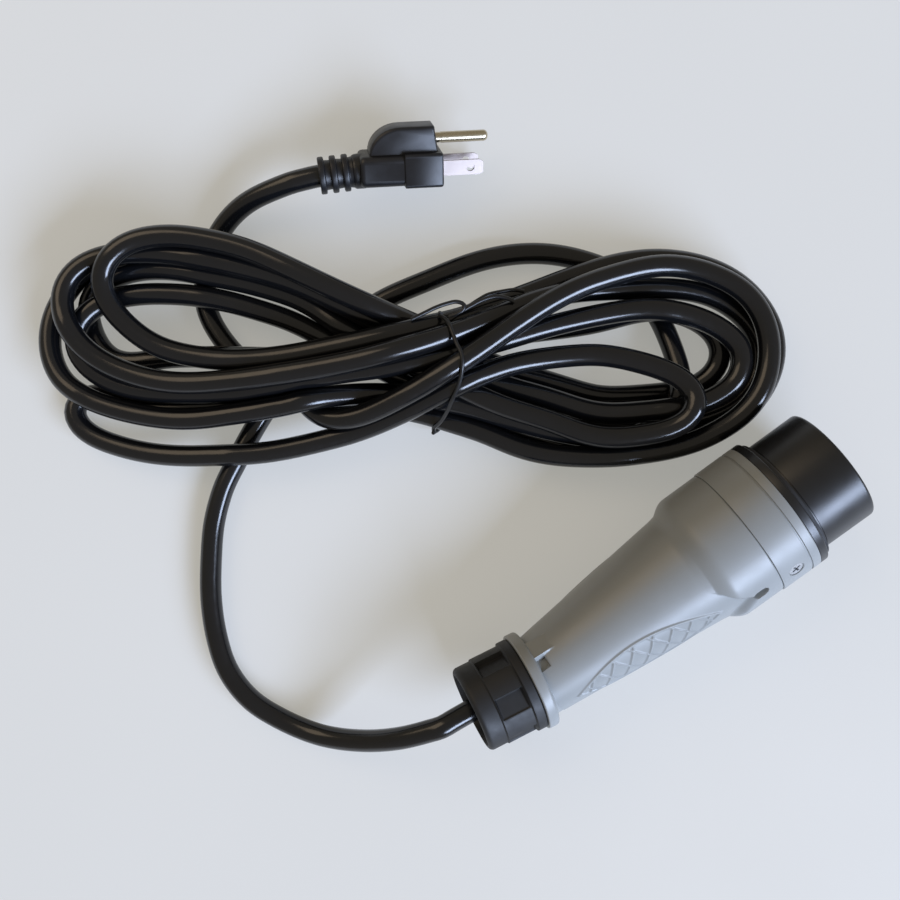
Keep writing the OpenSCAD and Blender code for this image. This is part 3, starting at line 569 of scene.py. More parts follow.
# Glass-filled nylon: the fibres near the skin leave it matt and a little grey.
filled_nylon = moulded("glass_filled_nylon", "#0D0E10", "#141517", 12, 0.52, 0.66, 0.35, 0.03, 1.53)
# Nitrile rubber of the sealing ring and the bush.
nitrile = moulded("nitrile_rubber", "#17181A", "#202124", 15, 0.6, 0.75, 0.6, 0.01, 1.5)
# Phenolic insert that carries the contacts.
phenolic = moulded("black_phenolic", "#1D1D1F", "#252527", 10, 0.4, 0.5, 0.5, 0.008, 1.55)
# Cream urea terminal block inside the handle.
cream_urea = moulded("cream_urea", "#CBC4AE", "#D6CFBA", 10, 0.35, 0.45, 0.5, 0.006, 1.55)
# Plasticised PVC of the plug, satin from an eroded tool.
plug_vinyl = moulded("moulded_plug_vinyl", "#0B0C10", "#101116", 14, 0.36, 0.46, 0.45, 0.012, 1.52)
# Thin extruded PVC over the tie's wire and on the three leads.
tie_vinyl = moulded("tie_vinyl", "#0F1012", "#151618", 8, 0.3, 0.4, 0.5, 0.004, 1.52)
lead_black = moulded("lead_black_vinyl", "#16171A", "#1C1D20", 8, 0.3, 0.4, 0.5, 0.004, 1.52)
lead_white = moulded("lead_white_vinyl", "#D8D8D2", "#E2E2DC", 8, 0.3, 0.4, 0.5, 0.004, 1.52)
lead_green = moulded("lead_green_vinyl", "#237A3A", "#2B8642", 8, 0.3, 0.4, 0.5, 0.004, 1.52)
print("plastics:", len(bpy.data.materials))

# %% [markdown]
# The cord's jacket
#
# An extruded jacket has no grain, but the wires inside press through a little: the surface waves
# gently along its length, and its long highlights break and wander. The tube below carries its own
# coordinates, metres along and metres round, so that this waviness follows the cord round every
# bend. One wave is about 30 mm long and 7 mm wide, a few hundredths of a millimetre high.

# %% Jacket material
jacket = new_material("jacket_vinyl")
jacket_uv = node(jacket, "TexCoord").outputs["UV"]
wave_place = node(jacket, "Mapping", {"Vector": jacket_uv, "Scale": (per_size(30), per_size(7), 1)})
waves = node(jacket, "TexNoise", {"Vector": wave_place.outputs["Vector"], "Scale": 1.0, "Detail": 2})
wave_bump = node(jacket, "Bump", {"Height": waves.outputs["Fac"], "Strength": 1.0, "Distance": 0.035 * MM})
scuffs = node(jacket, "TexNoise", {"Vector": jacket_uv, "Scale": per_size(3), "Detail": 5})
scuff_rough = node(jacket, "MapRange", {
    "Value": scuffs.outputs["Fac"], "From Min": 0.3, "From Max": 0.8, "To Min": 0.15, "To Max": 0.23,
})
jacket_colour = mottled(jacket, jacket_uv, "#0C0D0F", "#121316", 20)
finish_surface(jacket, {
    "Base Color": jacket_colour,
    "Roughness": scuff_rough.outputs["Result"],
    "IOR": 1.53,
    "Normal": wave_bump.outputs["Normal"],
})
print("jacket ready")

# %% [markdown]
# Metals
#
# The contacts are turned brass, the screws zinc-plated steel, and the plug's blades and pin
# nickel-plated brass, a warm silver. The blades' plating is drawn darker and pinker than the pin's:
# that is painted shade and a painted warm reflection. Turned and rolled metal shows fine lines, so the
# roughness and a small bump come from a noise that is stretched along one direction. All metals keep
# the default IOR.

# %% Metals
def metal(name, low, high, rough_low, rough_high, line_size, line_high):
    material = new_material(name)
    place = node(material, "TexCoord").outputs["Object"]
    stretched = node(material, "Mapping", {"Vector": place, "Scale": (1, 8, 8)}).outputs["Vector"]
    return finish_surface(material, {
        "Base Color": mottled(material, place, low, high, 6),
        "Metallic": 1.0,
        "Roughness": drift(material, stretched, rough_low, rough_high, line_size * 8),
        "Normal": grain(material, stretched, line_size * 8, line_high),
    })


brass = metal("turned_brass", "#B79048", "#C9A45C", 0.24, 0.36, 0.3, 0.004)
zinc = metal("zinc_plated_steel", "#B6B9BD", "#C4C7CB", 0.3, 0.42, 0.3, 0.004)
# The blades' nickel is drawn darker and pinker than the pin's plating: painted shade and a painted warm
# reflection.
nickel = metal("nickel_plate_painted_shade_and_reflection", "#8F8581", "#A0958F", 0.3, 0.38, 0.25, 0.001)
warm_nickel = metal("warm_nickel_plate", "#C0B69E", "#CFC6B0", 0.24, 0.32, 0.25, 0.0006)
print("metals ready")

# %% [markdown]
# The cord
#
# The settled line becomes a tube: a ring of points at each step, turned so that it never twists. A
# curve with a bevel would be quicker, but a mesh tube can carry coordinates in real metres for the
# jacket's waviness. The line starts inside the gland's clamp and ends inside the plug's strain relief.

# %% Tube and cord
def tube(line, radius, sides):
    """Rings of points along a line, turned as little as possible from one to the next."""
    ahead = np.gradient(line, axis=0)
    ahead /= np.linalg.norm(ahead, axis=1)[:, None]
    side = np.array([0.3, 0.2, 1.0])
    angles = np.linspace(0, 2 * math.pi, sides, endpoint=False)
    points = []
    for middle, t in zip(line, ahead):
        side = side - t * (side @ t)
        side /= np.linalg.norm(side)
        other = np.cross(t, side)
        points.append(middle + radius * (np.cos(angles)[:, None] * side + np.sin(angles)[:, None] * other))
    return np.concatenate(points), capped_grid(len(line), sides)


def to_table(matrix, x, y, z):
    return np.array(on_table @ matrix @ Vector((x, y, z)))


gland_inside = [to_table(GLAND, 0, 0, t) for t in (NUT_END - 10, NUT_END - 6, NUT_END - 2)]
RELIEF = PLUG @ shift(0, -1, 0) @ turn("Z", 4) @ turn("Y", -90)
RELIEF_LEN = 17.6
plug_inside = [to_table(RELIEF, 0, 0, t) for t in (RELIEF_LEN - 5.5, RELIEF_LEN - 1, RELIEF_LEN + 2)]

whole_line = np.vstack([gland_inside, hank_line[::-1], plug_inside[::-1]])
whole_line, _ = spline(even_steps(whole_line, 6), 2.4)
CORD_SIDES = 20
cord_points, cord_faces = tube(whole_line, CORD_R, CORD_SIDES)
cord = piece(
    "cord", cord_points, cord_faces, TABLE, jacket,
    ["cord_gland_tail", "cord_bow", "cord_hank", "cord_plug_tail"], crisp=60,
)
along_uv = cord.data.uv_layers.new(name="along_and_round")
run = length_along(whole_line) * MM
for polygon in cord.data.polygons:
    if len(polygon.vertices) != 4:
        continue
    sides = [v % CORD_SIDES for v in polygon.vertices]
    wraps = max(sides) - min(sides) > 1
    for loop, v in zip(polygon.loop_indices, polygon.vertices):
        s = v % CORD_SIDES
        s += CORD_SIDES if wraps and s == 0 else 0
        along_uv.data[loop].uv = (run[v // CORD_SIDES], s / CORD_SIDES * math.pi * CORD_D * MM)

# %% [markdown]
# The wire tie
#
# A tie of plastic-covered wire is pulled tight over the strands, so it spans from one high strand to
# the next like a string over stones. Its course is read off the picture, its height is that of the
# strand under each point, and the taut line over those heights is their upper hull. At the far edge a
# long end, a short end and a small curl lie loose on the hank. Under the hank the wire's course is
# guessed, and where it comes down the far side it still cuts up to 1.4 mm into a strand.

# %% Tie
tie_over = [
    (440, 316), (447, 322), (452, 334), (456, 345), (461, 356), (462, 370), (459, 384), (453, 398), (447, 411),
    (440, 421), (433, 427),
]
tie_loop_end = [
    (412, 321), (424, 315), (436, 309), (447, 305), (457, 303), (464, 306), (463, 311), (456, 315), (449, 318),
]
tie_long_end = [(449, 321), (458, 314), (468, 307), (478, 300), (488, 294), (503, 290), (515, 288), (525, 289)]
tie_short_end = [(451, 320), (462, 312), (472, 306), (484, 300), (496, 297), (508, 299), (514, 302)]


def top_of_hank(x, y):
    """How high a thin wire lies that crosses the hank at this table point."""
    reach = CORD_R + TIE_R
    near = np.hypot(whole_line[:, 0] - x, whole_line[:, 1] - y)
    heights = whole_line[:, 2] + np.sqrt(np.maximum(reach ** 2 - near ** 2, 0))
    return max(TIE_R, heights[near < reach].max() if (near < reach).any() else TIE_R)


def table_line(pixels, high, step=1.0):
    """A smooth line on the table under a list of pixels, taken at one height."""
    away = (CAMERA_HIGH - high) / PIXELS_PER_UNIT
    flat = [((x - PICTURE_MIDDLE) * away, (PICTURE_MIDDLE - y) * away, 0) for x, y in pixels]
    return spline(flat, step)[0]


def taut(line):
    """Lifts a line onto the hank and pulls it tight: the upper hull of the heights along it."""
    run = length_along(line[:, :2])
    heights = np.array([top_of_hank(x, y) for x, y, _ in line])
    hull = []
    for k in range(len(line)):
        while len(hull) > 1:
            a, b = hull[-2], hull[-1]
            if (heights[b] - heights[a]) * (run[k] - run[a]) > (heights[k] - heights[a]) * (run[b] - run[a]):
                break
            hull.pop()
        hull.append(k)
    high = np.interp(run, run[hull], heights[hull])
    return np.column_stack([line[:, :2], smoothed(high[:, None], 1.0, [(1, 0.5), (2, 0.3)])])


over = taut(table_line(tie_over, 32))
near_edge, far_edge = over[-1], over[0]
under = np.array([
    [near_edge[0], near_edge[1] - 1.6, near_edge[2] - 2.2], [near_edge[0], near_edge[1] - 2.0, 14],
    [near_edge[0], near_edge[1] - 1.8, 5], [TIE_X, near_edge[1], 1.9], [TIE_X, near_edge[1] + 4, 1.2],
    [TIE_X, far_edge[1] - 4, 1.2], [TIE_X, far_edge[1], 1.9], [far_edge[0], far_edge[1] + 1.8, 5],
    [far_edge[0], far_edge[1] + 2.0, 14], [far_edge[0], far_edge[1] + 1.4, far_edge[2] - 2.4],
    [far_edge[0] + 0.4, far_edge[1] + 0.6, far_edge[2] - 0.6],
])
tie_lines = [
    spline(np.vstack([over, under]), 1.0)[0],
    taut(table_line(tie_loop_end, 30)),
    taut(table_line(tie_long_end, 30)),
    taut(table_line(tie_short_end, 30)),
]
tie_points, tie_faces = joined([tube(one, TIE_R, 12) for one in tie_lines])
tie = piece("wire_tie", tie_points, tie_faces, TABLE, tie_vinyl, ["twist_tie"], crisp=60)

# %% [markdown]
# The handle
#
# The handle is one moulding: a bell that holds the ring, a shoulder, a long tapering grip, and a
# collar in front of the gland nut. On each side the grip runs on as a pointed flat into the bell and
# ends in a small pocket, and a leaf of crossed ribs gives the fingers hold. Modelling this with loose
# parts would leave seams that a moulding doesn't have. It is drawn here as one sheet wrapped
# round the axis: for each place along and each angle there is one radius, and every feature is a
# smooth rule that raises or lowers it.

# %% Handle: the turned shape
SHOULDER_X = -BELL_LEN
GRIP_X = SHOULDER_X - 7.5
GRIP_FRONT_R = BELL_R - 3.8
GRIP_REAR_R = 17.6
TAPER = (GRIP_FRONT_R - GRIP_REAR_R) / (GRIP_X - BEND_X)
BELL_BACK = -0.15


def cone_radius(x):
    return GRIP_FRONT_R + (x - GRIP_X) * TAPER


def turned_radius(x, angle):
    """Bell, shoulder and grip. The shoulder is crisp at the sides and runs out softly above and below."""
    side = np.sin(angle) ** 2
    cone = cone_radius(x)
    bell = BELL_R - 0.2 * ramp(x - (BELL_BACK - 0.25), 0.3)
    crisp = np.sin(np.clip((x - GRIP_X) / (SHOULDER_X - GRIP_X), 0, 1) * math.pi / 2)
    soft_start = GRIP_X - 4
    soft = np.clip((x - soft_start) / (SHOULDER_X + 0.5 - soft_start), 0, 1)
    soft = soft * soft * (3 - 2 * soft)
    share = side * crisp + (1 - side) * soft
    return cone + (bell - cone) * share


print("grip radius in mm, front and rear:", round(GRIP_FRONT_R, 1), GRIP_REAR_R)


# %% [markdown]
# Flats, pockets, leaves and the fin
#
# Each side of the grip has a flat that narrows to a point inside the bell, a small pocket beyond that
# point, and a leaf-shaped rim filled with crossed ribs. A fin stands in front of the collar. They could
# be cut and added with booleans, but a rule for the radius gives each edge its own softness, because a
# wide ramp makes a soft edge and a narrow one a crisp edge.

# %% Handle: flats, pockets, leaves and the fin
TONGUE_TIP = GRIP_X + 12.6
TONGUE_HALF = 10
POCKET_HALF = 2.1
POCKET_LEN = 7
POCKET_DEEP = 2.4
POCKET_FROM = TONGUE_TIP + 0.4
LEAF_FROM, LEAF_LONG, LEAF_HALF = -26.5, 69, 10
LEAF_HIGH = 0.5
RIB_PITCH, RIB_ANGLE = 9.2, 56
FIN_HALF, FIN_LONG, FIN_HIGH = 4, 16, 2.6
FIN_POCKET_DEEP = 2.6


def side_features(x, angle, radius):
    """What both sides have: the pointed flat, the pocket at its tip and the leaf of crossed ribs."""
    high = radius * np.cos(angle)
    facing = np.abs(np.sin(angle)) > 0.5
    share = (x - GRIP_X) / (TONGUE_TIP - GRIP_X)
    half = TONGUE_HALF * (1 - share) + 0.3
    edge_soft = np.where(high < 0, 2.6, 0.3)
    tip_soft = np.where(high < 0, 2.0, 0.3)
    inside = ramp(half - np.abs(high), edge_soft) * ramp(POCKET_FROM - x, tip_soft) * facing
    radius = radius - inside * np.maximum(radius - cone_radius(x), 0)

    stop = POCKET_FROM + POCKET_LEN - 2 * POCKET_HALF
    beyond = np.where(x < POCKET_FROM, POCKET_FROM - x, np.where(x > stop, x - stop, 0))
    edge = POCKET_HALF - np.hypot(beyond, high)
    radius = radius - ramp(edge, 0.28) * np.maximum(radius - (BELL_R - POCKET_DEEP), 0) * facing

    leaf_middle = LEAF_FROM - LEAF_LONG / 2
    big = (LEAF_LONG ** 2 / 4 + LEAF_HALF ** 2) / (2 * LEAF_HALF)
    depth = big - np.hypot(x - leaf_middle, np.abs(high) + big - LEAF_HALF)
    rim = ramp(0.5 - np.abs(depth - 0.5), 0.28)
    ribs = 0
    slope = math.radians(RIB_ANGLE)
    for way in (-1, 1):
        across = (x - leaf_middle) * math.sin(slope) + way * high * math.cos(slope)
        spacing = RIB_PITCH * math.sin(slope)
        off = np.abs(across - spacing * np.round(across / spacing))
        ribs = np.maximum(ribs, ramp(0.36 - off, 0.26))
    ribs = ribs * ramp(depth - 0.6, 0.3)
    return radius + LEAF_HIGH * np.maximum(rim, ribs) * facing


def fin_features(x, angle, radius):
    """The fin in front of the collar, with a small pocket beside it on the side that is seen."""
    on_top = np.cos(angle) > 0.6
    width = np.abs(radius * np.sin(angle))
    fin_rear = BEND_X + 1
    top = GRIP_REAR_R + FIN_HIGH - np.clip((x - fin_rear - 3) / 13, 0, 1) * 2.2
    body = ramp(FIN_HALF - width, 0.35) * ramp(fin_rear + FIN_LONG - x, 0.6) * on_top
    raised = radius + body * np.maximum(top / np.maximum(np.cos(angle), 0.5) - radius, 0)
    near_side = on_top * (np.sin(angle) > 0)
    hollow = ramp(2.1 - np.abs(width - 6.3), 0.3) * ramp(2.5 - np.abs(x - fin_rear - 4), 0.3) * near_side
    return raised - FIN_POCKET_DEEP * hollow


print("leaf from", LEAF_FROM, "to", LEAF_FROM - LEAF_LONG, "mm along the axis")


# %% [markdown]
# The handle's sheet
#
# The radius is worked out on a grid of places and angles. The grid is finer where the pocket, the leaf
# and the fin need it, because an even grid as fine as that would have several times as many faces.
# Hidden rows then lead the skin over the front edge, through the bore and back out at the rear.

# %% Handle: the sheet
fin_angles = np.arange(-22, 22, 0.8)
leaf_angles = np.concatenate([
    np.arange(22, 56, 2.6), np.arange(56, 84.5, 0.8), np.arange(84.5, 95.5, 0.35), np.arange(95.5, 124, 0.8),
])
far_leaf_angles = (360 - leaf_angles)[::-1]
handle_angles = np.radians(np.concatenate([
    fin_angles, leaf_angles, np.arange(124, 236, 2.6), far_leaf_angles,
]))
handle_x = np.concatenate([
    np.arange(BEND_X, -86, 0.48), np.arange(-86, -25, 0.4), np.arange(-25, -14, 0.42), np.arange(-14, -6.2, 0.2),
    np.arange(-6.2, -2.4, 0.5), [-2, -1.5, -1, -0.7, -0.5, -0.35, -0.25, BELL_BACK],
])
X, A = np.meshgrid(handle_x, handle_angles, indexing="ij")
outer = fin_features(X, A, side_features(X, A, turned_radius(X, A)))
rows_x, rows_r = closed_sheet(X, outer, [
    (BELL_BACK, 27.9), (3, 27.9), (3, 26.4), (-2, 26.4), (-5, 25.5), (SHOULDER_X, 25.5), (GRIP_X, 22.7),
    (BEND_X + 6, 15.2), (BEND_X, 15.2),
])
angles = np.broadcast_to(handle_angles, rows_x.shape)
handle_points = np.stack([rows_x, -rows_r * np.sin(angles), rows_r * np.cos(angles)], axis=-1).reshape(-1, 3)
handle_faces = grid_faces(len(rows_x), len(handle_angles), close_rows=True)
print("sheet of", len(rows_x), "rows and", len(handle_angles), "columns")

# %% [markdown]
# The collar and the threaded neck belong to the same moulding, but they stand on the gland's axis,
# which leaves the grip at an angle. They are turned on that axis and joined to the sheet, so that the
# handle stays one piece. Only a collar with a full rounded edge shows. The neck is hidden in the nut.

# %% Collar and neck, joined to the handle
collar_outline = rounded_outline([
    (-6, 16.9, 0), (0.2, 17.3, 0.6), (2.0, 18.0, 0.8), (2.0, 21.4, 1.5), (7.0, 21.4, 0.7), (7.0, 15, 0.3),
    (26, 15, 0.6), (26, 10.8, 0.4), (-6, 10.8, 0),
])
collar_points, collar_faces = lathe(collar_outline, 120, axis="Z")
collar_points = moved(collar_points, CONNECTOR.inverted() @ GLAND)
all_points, all_faces = joined([(handle_points, handle_faces), (collar_points, collar_faces)])
piece("moulded_handle", all_points, all_faces, CONNECTOR, grey_abs, ["handle_shell"], crisp=40)

# %% [markdown]
# The ring
#
# The ring is a turned shape with a fine groove near its front. It is one outline turned about the axis,
# with its outer edges rounded by a few tenths of a millimetre, because a moulded edge is never sharp and
# its highlight is what the eye reads. Its two counterbores are cut with a boolean, as a drill would.

# %% Ring
ring_outline = rounded_outline([
    (0, 28.0, 0), (0, RING_R, 0.35), (13.7, RING_R, 0.12), (13.8, RING_R - 0.6, 0.15), (14.5, RING_R - 0.6, 0.15),
    (14.6, RING_R, 0.12), (18.6, RING_R, 0.6), (18.6, 26.3, 0), (3.4, 26.3, 0), (3.4, 28.0, 0),
])
ring_points, ring_faces = lathe(ring_outline, 160)
ring = piece("front_ring", ring_points, ring_faces, CONNECTOR, grey_abs, ["head_ring"])
SCREW_X = 7.2
drill_points, drill_faces = lathe(rounded_outline([
    (25, 0, 0), (25, 3.3, 0), (RING_R - 0.35, 3.3, 0), (RING_R + 0.1, 3.7, 0), (RING_R + 2, 3.7, 0),
    (RING_R + 2, 0, 0),
]), 48, axis="Z")
for side in (-1, 1):
    drill_place = CONNECTOR @ shift(SCREW_X, 0, 0) @ turn("X", 90 * side)
    drill = piece("drill", drill_points, drill_faces, drill_place, grey_abs)
    cut = ring.modifiers.new("counterbore", "BOOLEAN")
    cut.object = drill
    cut.operation = "DIFFERENCE"
    cut.solver = "EXACT"
    with bpy.context.temp_override(object=ring, active_object=ring):
        bpy.ops.object.modifier_apply(modifier="counterbore")
    bpy.data.objects.remove(drill)
ring.data.set_sharp_from_angle(angle=math.radians(32))
print("ring after drilling:", len(ring.data.polygons), "faces")

# %% [markdown]
# Nose and seal
#
# The nose is the black barrel that goes into the cart's inlet, with a flange at its root and a fine
# groove in front of the thin rubber seal. A plain cylinder with one bevel would round every edge alike.
# A turned outline lets the mouth have a wide rounding and the groove a narrow one. The holes for the
# ring's screws are left out here, because the ring hides that part of the nose.

# %% Nose and seal
nose_outline = rounded_outline([
    (3, 21.6, 0), (3, 26.2, 0.2), (18.6, 26.2, 0), (18.6, RING_R - 0.1, 0.3), (22.2, RING_R - 0.1, 0.7),
    (22.2, NOSE_R, 0), (23.9, NOSE_R, 0), (23.9, NOSE_R - 0.3, 0.1), (24.9, NOSE_R - 0.3, 0.1),
    (24.9, NOSE_R, 0.15), (NOSE_FRONT, NOSE_R, 1.5), (NOSE_FRONT, 22.8, 0.6), (10, 22.8, 0), (10, 21.6, 0),
], steps=6)
nose_points, nose_faces = lathe(nose_outline, 160)
piece("black_nose", nose_points, nose_faces, CONNECTOR, black_nylon, ["nose_barrel"])
seal_outline = rounded_outline([(22.2, 25.85, 0), (22.2, 28.2, 0.2), (23.8, 28.2, 0.5), (23.8, 25.85, 0)])
seal_points, seal_faces = lathe(seal_outline, 128)
piece("sealing_ring", seal_points, seal_faces, CONNECTOR, nitrile, ["flange_seal"])

# %% [markdown]
# The gland nut
#
# The nut squeezes the clamp onto the cord. Fingers grip it by six pads, and between them are
# recesses whose floor slants like a saw tooth, so that it can be pulled tight more easily than it
# comes loose. Like the handle it is a wrapped sheet, with one radius for each place and angle.

# %% Nut
PADS = 6
PAD_FROM, PAD_TO = NUT_T + 4.5, NUT_END - 9
NOTCH_SLANT = 11


def nut_radius(t, angle):
    flange, pad, rear = 20.2, 19.2, NUT_REAR_R
    radius = flange + (pad - flange) * ramp(t - PAD_FROM, 0.3) + (rear - pad) * ramp(t - PAD_TO - 0.5, 0.3)
    within = np.degrees(angle) - 12
    within = (within + 180 / PADS) % (360 / PADS) - 180 / PADS
    slant = 16.91 / np.cos(np.radians(within - NOTCH_SLANT))
    notch = ramp(within + 13.8, 0.5) * ramp(14.4 - within, 0.5)
    notch = notch * ramp(t - PAD_FROM - 0.8, 0.35) * ramp(PAD_TO - 0.2 - t, 0.35)
    return radius - notch * np.maximum(radius - slant, 0)


nut_t = np.concatenate([
    [NUT_T + 0.1, NUT_T + 0.2, NUT_T + 0.4, NUT_T + 0.7], np.arange(NUT_T + 1, NUT_END - 3, 0.3),
    NUT_END - NUT_ROUND * (1 - np.sin(np.radians(np.arange(0, 91, 10)))),
])
nut_angles = np.radians(np.arange(0, 360, 1.0))
T, B = np.meshgrid(nut_t, nut_angles, indexing="ij")
front_round = 0.5 * (1 - np.clip((T - NUT_T - 0.1) / 0.6, 0, 1)) ** 2
back = np.clip((T - (NUT_END - NUT_ROUND)) / NUT_ROUND, 0, 1)
back_round = NUT_ROUND * (1 - np.sqrt(1 - back ** 2))
nut_outer = nut_radius(T, B) - front_round - back_round
rows_t, rows_r = closed_sheet(T, nut_outer, [
    (NUT_END, 16.3), (NUT_END - 0.3, 16.1), (26.7, 16.1), (26.7, 15.2), (NUT_T + 0.1, 15.2),
])
nut_points = np.stack([rows_r * np.cos(nut_angles), rows_r * np.sin(nut_angles), rows_t], axis=-1).reshape(-1, 3)
piece(
    "gland_nut_black", nut_points, grid_faces(len(rows_t), len(nut_angles), close_rows=True), GLAND,
    filled_nylon, ["gland_nut"], crisp=38,
)

# %% [markdown]
# The mains plug
#
# The plug is moulded over its blades in one shot of soft vinyl: a block whose front half is a touch
# larger, a hump that carries the earth pin, and a ribbed strain relief that lets the cord bend in
# steps. The block is a stack of rounded sections, the hump is a side outline given width and
# bevelled, and the relief is turned. They run into each other as the one moulding does.

# %% Plug: block, hump and relief
PLUG_LEN, PLUG_T, PLUG_W = 36, 14.8, 22
PLUG_STEP = 0.7
HUMP_H, HUMP_W = 10.6, 14


def rounded_section(width, height, radius, steps=6):
    """Points round a rounded rectangle, the same number for every size."""
    points = []
    for quarter in range(4):
        middle = ((1, 1), (-1, 1), (-1, -1), (1, -1))[quarter]
        for k in range(steps + 1):
            a = math.radians(90 * quarter + 90 * k / steps)
            points.append((
                middle[0] * (width / 2 - radius) + radius * math.cos(a),
                middle[1] * (height / 2 - radius) + radius * math.sin(a),
            ))
    return points


step_x = PLUG_LEN * 0.53
stations = [
    (0, -1.6, 3), (0.15, -1.0, 3), (0.5, -0.55, 3.2), (1.2, -0.15, 3.4), (2.2, 0, 3.4), (step_x - 0.25, 0, 3.4),
    (step_x, 0.15, 3), (step_x + 0.2, PLUG_STEP - 0.2, 1.9), (step_x + 0.5, PLUG_STEP, 1.8),
    (PLUG_LEN - 1, PLUG_STEP, 1.6), (PLUG_LEN - 0.35, PLUG_STEP - 0.2, 1.5), (PLUG_LEN, PLUG_STEP - 0.7, 1.4),
]
block_points = []
for x, grow, radius in stations:
    width, height = PLUG_T - 2 * PLUG_STEP + 2 * grow, PLUG_W - 2 * PLUG_STEP + 2 * grow
    block_points += [(x, y, z) for y, z in rounded_section(width, height, radius)]
around = len(block_points) // len(stations)
block_faces = capped_grid(len(stations), around)

hump_base, hump_top = PLUG_T / 2 - 1, PLUG_T / 2 + HUMP_H
hump_side = [
    (4.3 + 14 * (1 - math.cos(math.radians(a))), hump_base + (hump_top - hump_base) * math.sin(math.radians(a)))
    for a in range(0, 91, 9)
]
hump_side += [
    (PLUG_LEN - 3.6, hump_top), (PLUG_LEN - 3.1, hump_top - 0.5), (PLUG_LEN - 2.8, hump_top - 3),
    (PLUG_LEN - 2.3, hump_top - 6.4), (PLUG_LEN - 1.6, hump_base),
]
hump_rows = [(-HUMP_W / 2, 1.5), (-HUMP_W / 2 + 0.25, 0.75), (-HUMP_W / 2 + 0.75, 0.25), (-HUMP_W / 2 + 1.5, 0)]
hump_rows += [(-z, inset) for z, inset in reversed(hump_rows)]
hump_points = []
for z, inset in hump_rows:
    for x, y in hump_side:
        lowered = max(y - inset, hump_base - 2)
        toward = inset * 0.55 * (1 if x < PLUG_LEN / 2 else -1)
        hump_points.append((x + toward, lowered, z))
hump_faces = capped_grid(len(hump_rows), len(hump_side))

RIB_STEP, RIB_LONG, RELIEF_R = 5.2, 2.7, 8
relief_corners = [(-2, 0, 0), (-2, 7.6, 0), (1.8, 7.4, 0.6), (2.6, 7.0, 0.3), (2.8, 6.7, 0.2)]
for k in (2, 1, 0):
    rib_end = RELIEF_LEN - k * RIB_STEP
    relief_corners += [
        (rib_end - RIB_LONG - 0.1, 6.4, 0.2), (rib_end - RIB_LONG, RELIEF_R, 0.8), (rib_end, RELIEF_R, 0.8),
        (rib_end + 0.1, 6.2, 0.2),
    ]
relief_corners[-1] = (RELIEF_LEN, 5.4, 0.4)
relief_corners += [(RELIEF_LEN, CORD_R + 0.05, 0), (RELIEF_LEN - 5, CORD_R, 0), (RELIEF_LEN - 5, 0, 0)]
relief_points, relief_faces = lathe(rounded_outline(relief_corners), 96, axis="Z")
relief_points = moved(relief_points, PLUG.inverted() @ RELIEF)

plug_points, plug_faces = joined([
    (block_points, block_faces), (hump_points, hump_faces), (relief_points, relief_faces),
])
plug = piece("mains_plug", plug_points, plug_faces, PLUG, plug_vinyl, ["plug_body"], crisp=38)

# %% [markdown]
# The earth pin
#
# The pin is rolled from nickel-plated brass sheet, with a rounded tip. It is turned here with a
# proper round nose, because its bright curved highlight is one of the sharpest things on the plug.

# %% Earth pin
PIN_R, PIN_LEN, PIN_OFF, PIN_ROOT = 2.375, 21, 11.9, 12
pin_outline = [(0, 0), (0, PIN_R - 0.2), (PIN_ROOT + 0.3, PIN_R - 0.2), (PIN_ROOT + 0.35, PIN_R)]
pin_outline += [
    (PIN_ROOT + PIN_LEN - 1.9 + 1.9 * math.sin(math.radians(a)), PIN_R - 1.9 + 1.9 * math.cos(math.radians(a)))
    for a in range(0, 91, 9)
]
pin_outline.append((PIN_ROOT + PIN_LEN, 0))
pin_points, pin_faces = lathe(pin_outline, 48)
pin = piece(
    "earth_pin", pin_points, pin_faces, PLUG @ shift(PLUG_LEN - PIN_ROOT, PIN_OFF, 0), warm_nickel,
    ["plug_earth_pin"],
)

# %% [markdown]
# Finishes for the pieces that keep their CAD shape
#
# Screws, contacts, blades, leads and the clamp are already right as the CAD model has them. Each gets
# the finish of what it is made of.

# %% Dress the CAD nodes
cad_finish = {
    "ring_screws": zinc, "terminal_screws": zinc, "contact_insert": phenolic, "terminal_block": cream_urea,
    "contact_line": brass, "contact_neutral": brass, "contact_earth": brass, "gland_clamp": filled_nylon,
    # The blades' nickel carries painted shade and a painted warm reflection.
    "gland_seal": nitrile, "plug_line_blade": nickel, "plug_neutral_blade": nickel, "lead_line": lead_black,
    "lead_neutral": lead_white, "lead_earth": lead_green,
}
for name, material in cad_finish.items():
    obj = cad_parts[name]
    if obj.material_slots:
        for slot in obj.material_slots:
            slot.material = material
    else:
        obj.data.materials.append(material)
print("dressed", len(cad_finish), "CAD nodes")
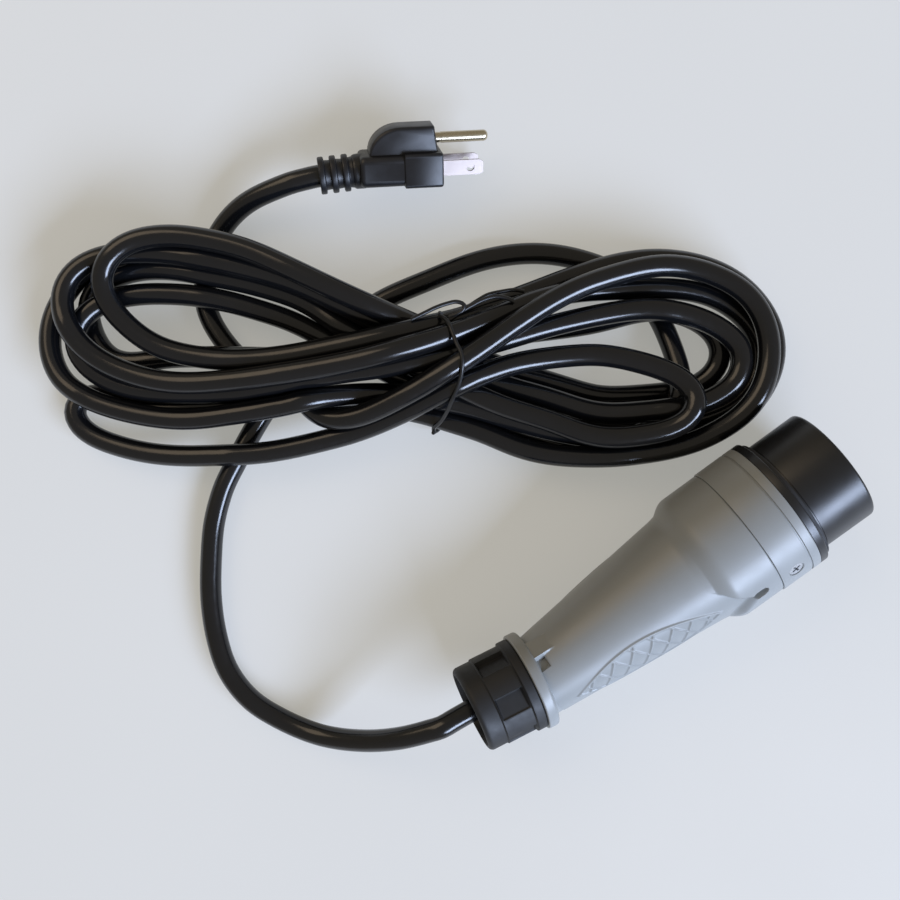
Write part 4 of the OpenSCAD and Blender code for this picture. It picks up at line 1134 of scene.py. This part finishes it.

# %% [markdown]
# What the cord is
#
# The cord above is a tube of its real thickness. It leaves the connector at the gland and ends in the
# plug.

# %% [markdown]
# The table
#
# The table is a smooth white laminate with a slight sheen. In the photograph it is almost evenly pale,
# so what the camera and reflections see of it is mixed with one pale tone. The rays that carry light
# from the table to the object meet the laminate alone: the tone adds no light, and shadows stay.

# %% Table
PALE_SHARE = 0.45
laminate = new_material("white_laminate")
table_place = node(laminate, "TexCoord").outputs["Object"]
laminate_top = node(laminate, "BsdfPrincipled", {
    "Base Color": mottled(laminate, table_place, "#D6D7D8", "#DEDFE0", 220, 1),
    "Roughness": drift(laminate, table_place, 0.3, 0.4, 60),
    "IOR": 1.45,
    "Specular IOR Level": 0.35,
})
ray = node(laminate, "LightPath").outputs
seen_ray = node(laminate, "Math", {0: ray["Is Camera Ray"], 1: ray["Is Glossy Ray"]}, operation="ADD")
seen_ray = node(laminate, "Math", {0: seen_ray.outputs[0], 1: ray["Is Transmission Ray"]}, operation="ADD")
pale_share = node(laminate, "Math", {0: seen_ray.outputs[0], 1: PALE_SHARE}, operation="MULTIPLY")
pale = node(laminate, "Emission", {"Color": linear("#DADAD4"), "Strength": 1.0})
table_mix = node(laminate, "MixShader", {
    0: pale_share.outputs[0], 1: laminate_top.outputs["BSDF"], 2: pale.outputs["Emission"],
})
node(laminate, "OutputMaterial", {"Surface": table_mix.outputs["Shader"]})
TABLE_HALF = 1.6
table_mesh = bpy.data.meshes.new("table_top")
corners = [(-1, -1), (1, -1), (1, 1), (-1, 1)]
table_mesh.from_pydata([(x * TABLE_HALF, y * TABLE_HALF, -0.0002) for x, y in corners], [], [(0, 1, 2, 3)])
table_mesh.materials.append(laminate)
table_top = bpy.data.objects.new("table_top", table_mesh)
bpy.context.collection.objects.link(table_top)
print("table", 2 * TABLE_HALF, "m wide")

# %% [markdown]
# The light
#
# A large cool window stands far off beyond the lower right corner of the picture and draws the long
# highlights on the cord. A weak warm lamp answers from the upper left, and an even, slightly warm sky
# fills the shadows. Area lights were chosen, because their size sets how soft a shadow's edge is.

# %% Lights and sky
def window(name, place, width, height, power, colour):
    """An area light over the table that faces the hank, placed in the picture's directions in metres."""
    data = bpy.data.lights.new(name, "AREA")
    data.shape = "RECTANGLE"
    data.size, data.size_y = width, height
    data.energy = power
    data.color = linear(colour)[:3]
    light = bpy.data.objects.new(name, data)
    light.location = (TABLE @ (Vector(place) / MM)) * MM
    target = (TABLE @ Vector((0, 0, 0))) * MM
    light.rotation_euler = (target - light.location).to_track_quat("-Z", "Y").to_euler()
    bpy.context.collection.objects.link(light)


window("window_cool", (2.91, -2.7, 2.55), 3.9, 1.65, 410, "#CFE0FF")
window("lamp_warm", (-1.9, 1.7, 2.4), 2.0, 2.0, 22, "#FFE6C6")
world = bpy.data.worlds.new("sky")
world.use_nodes = True
sky = world.node_tree.nodes["Background"]
sky.inputs["Color"].default_value = linear("#F4E9D6")
sky.inputs["Strength"].default_value = 0.34
bpy.context.scene.world = world
print("lights:", len(bpy.data.lights))
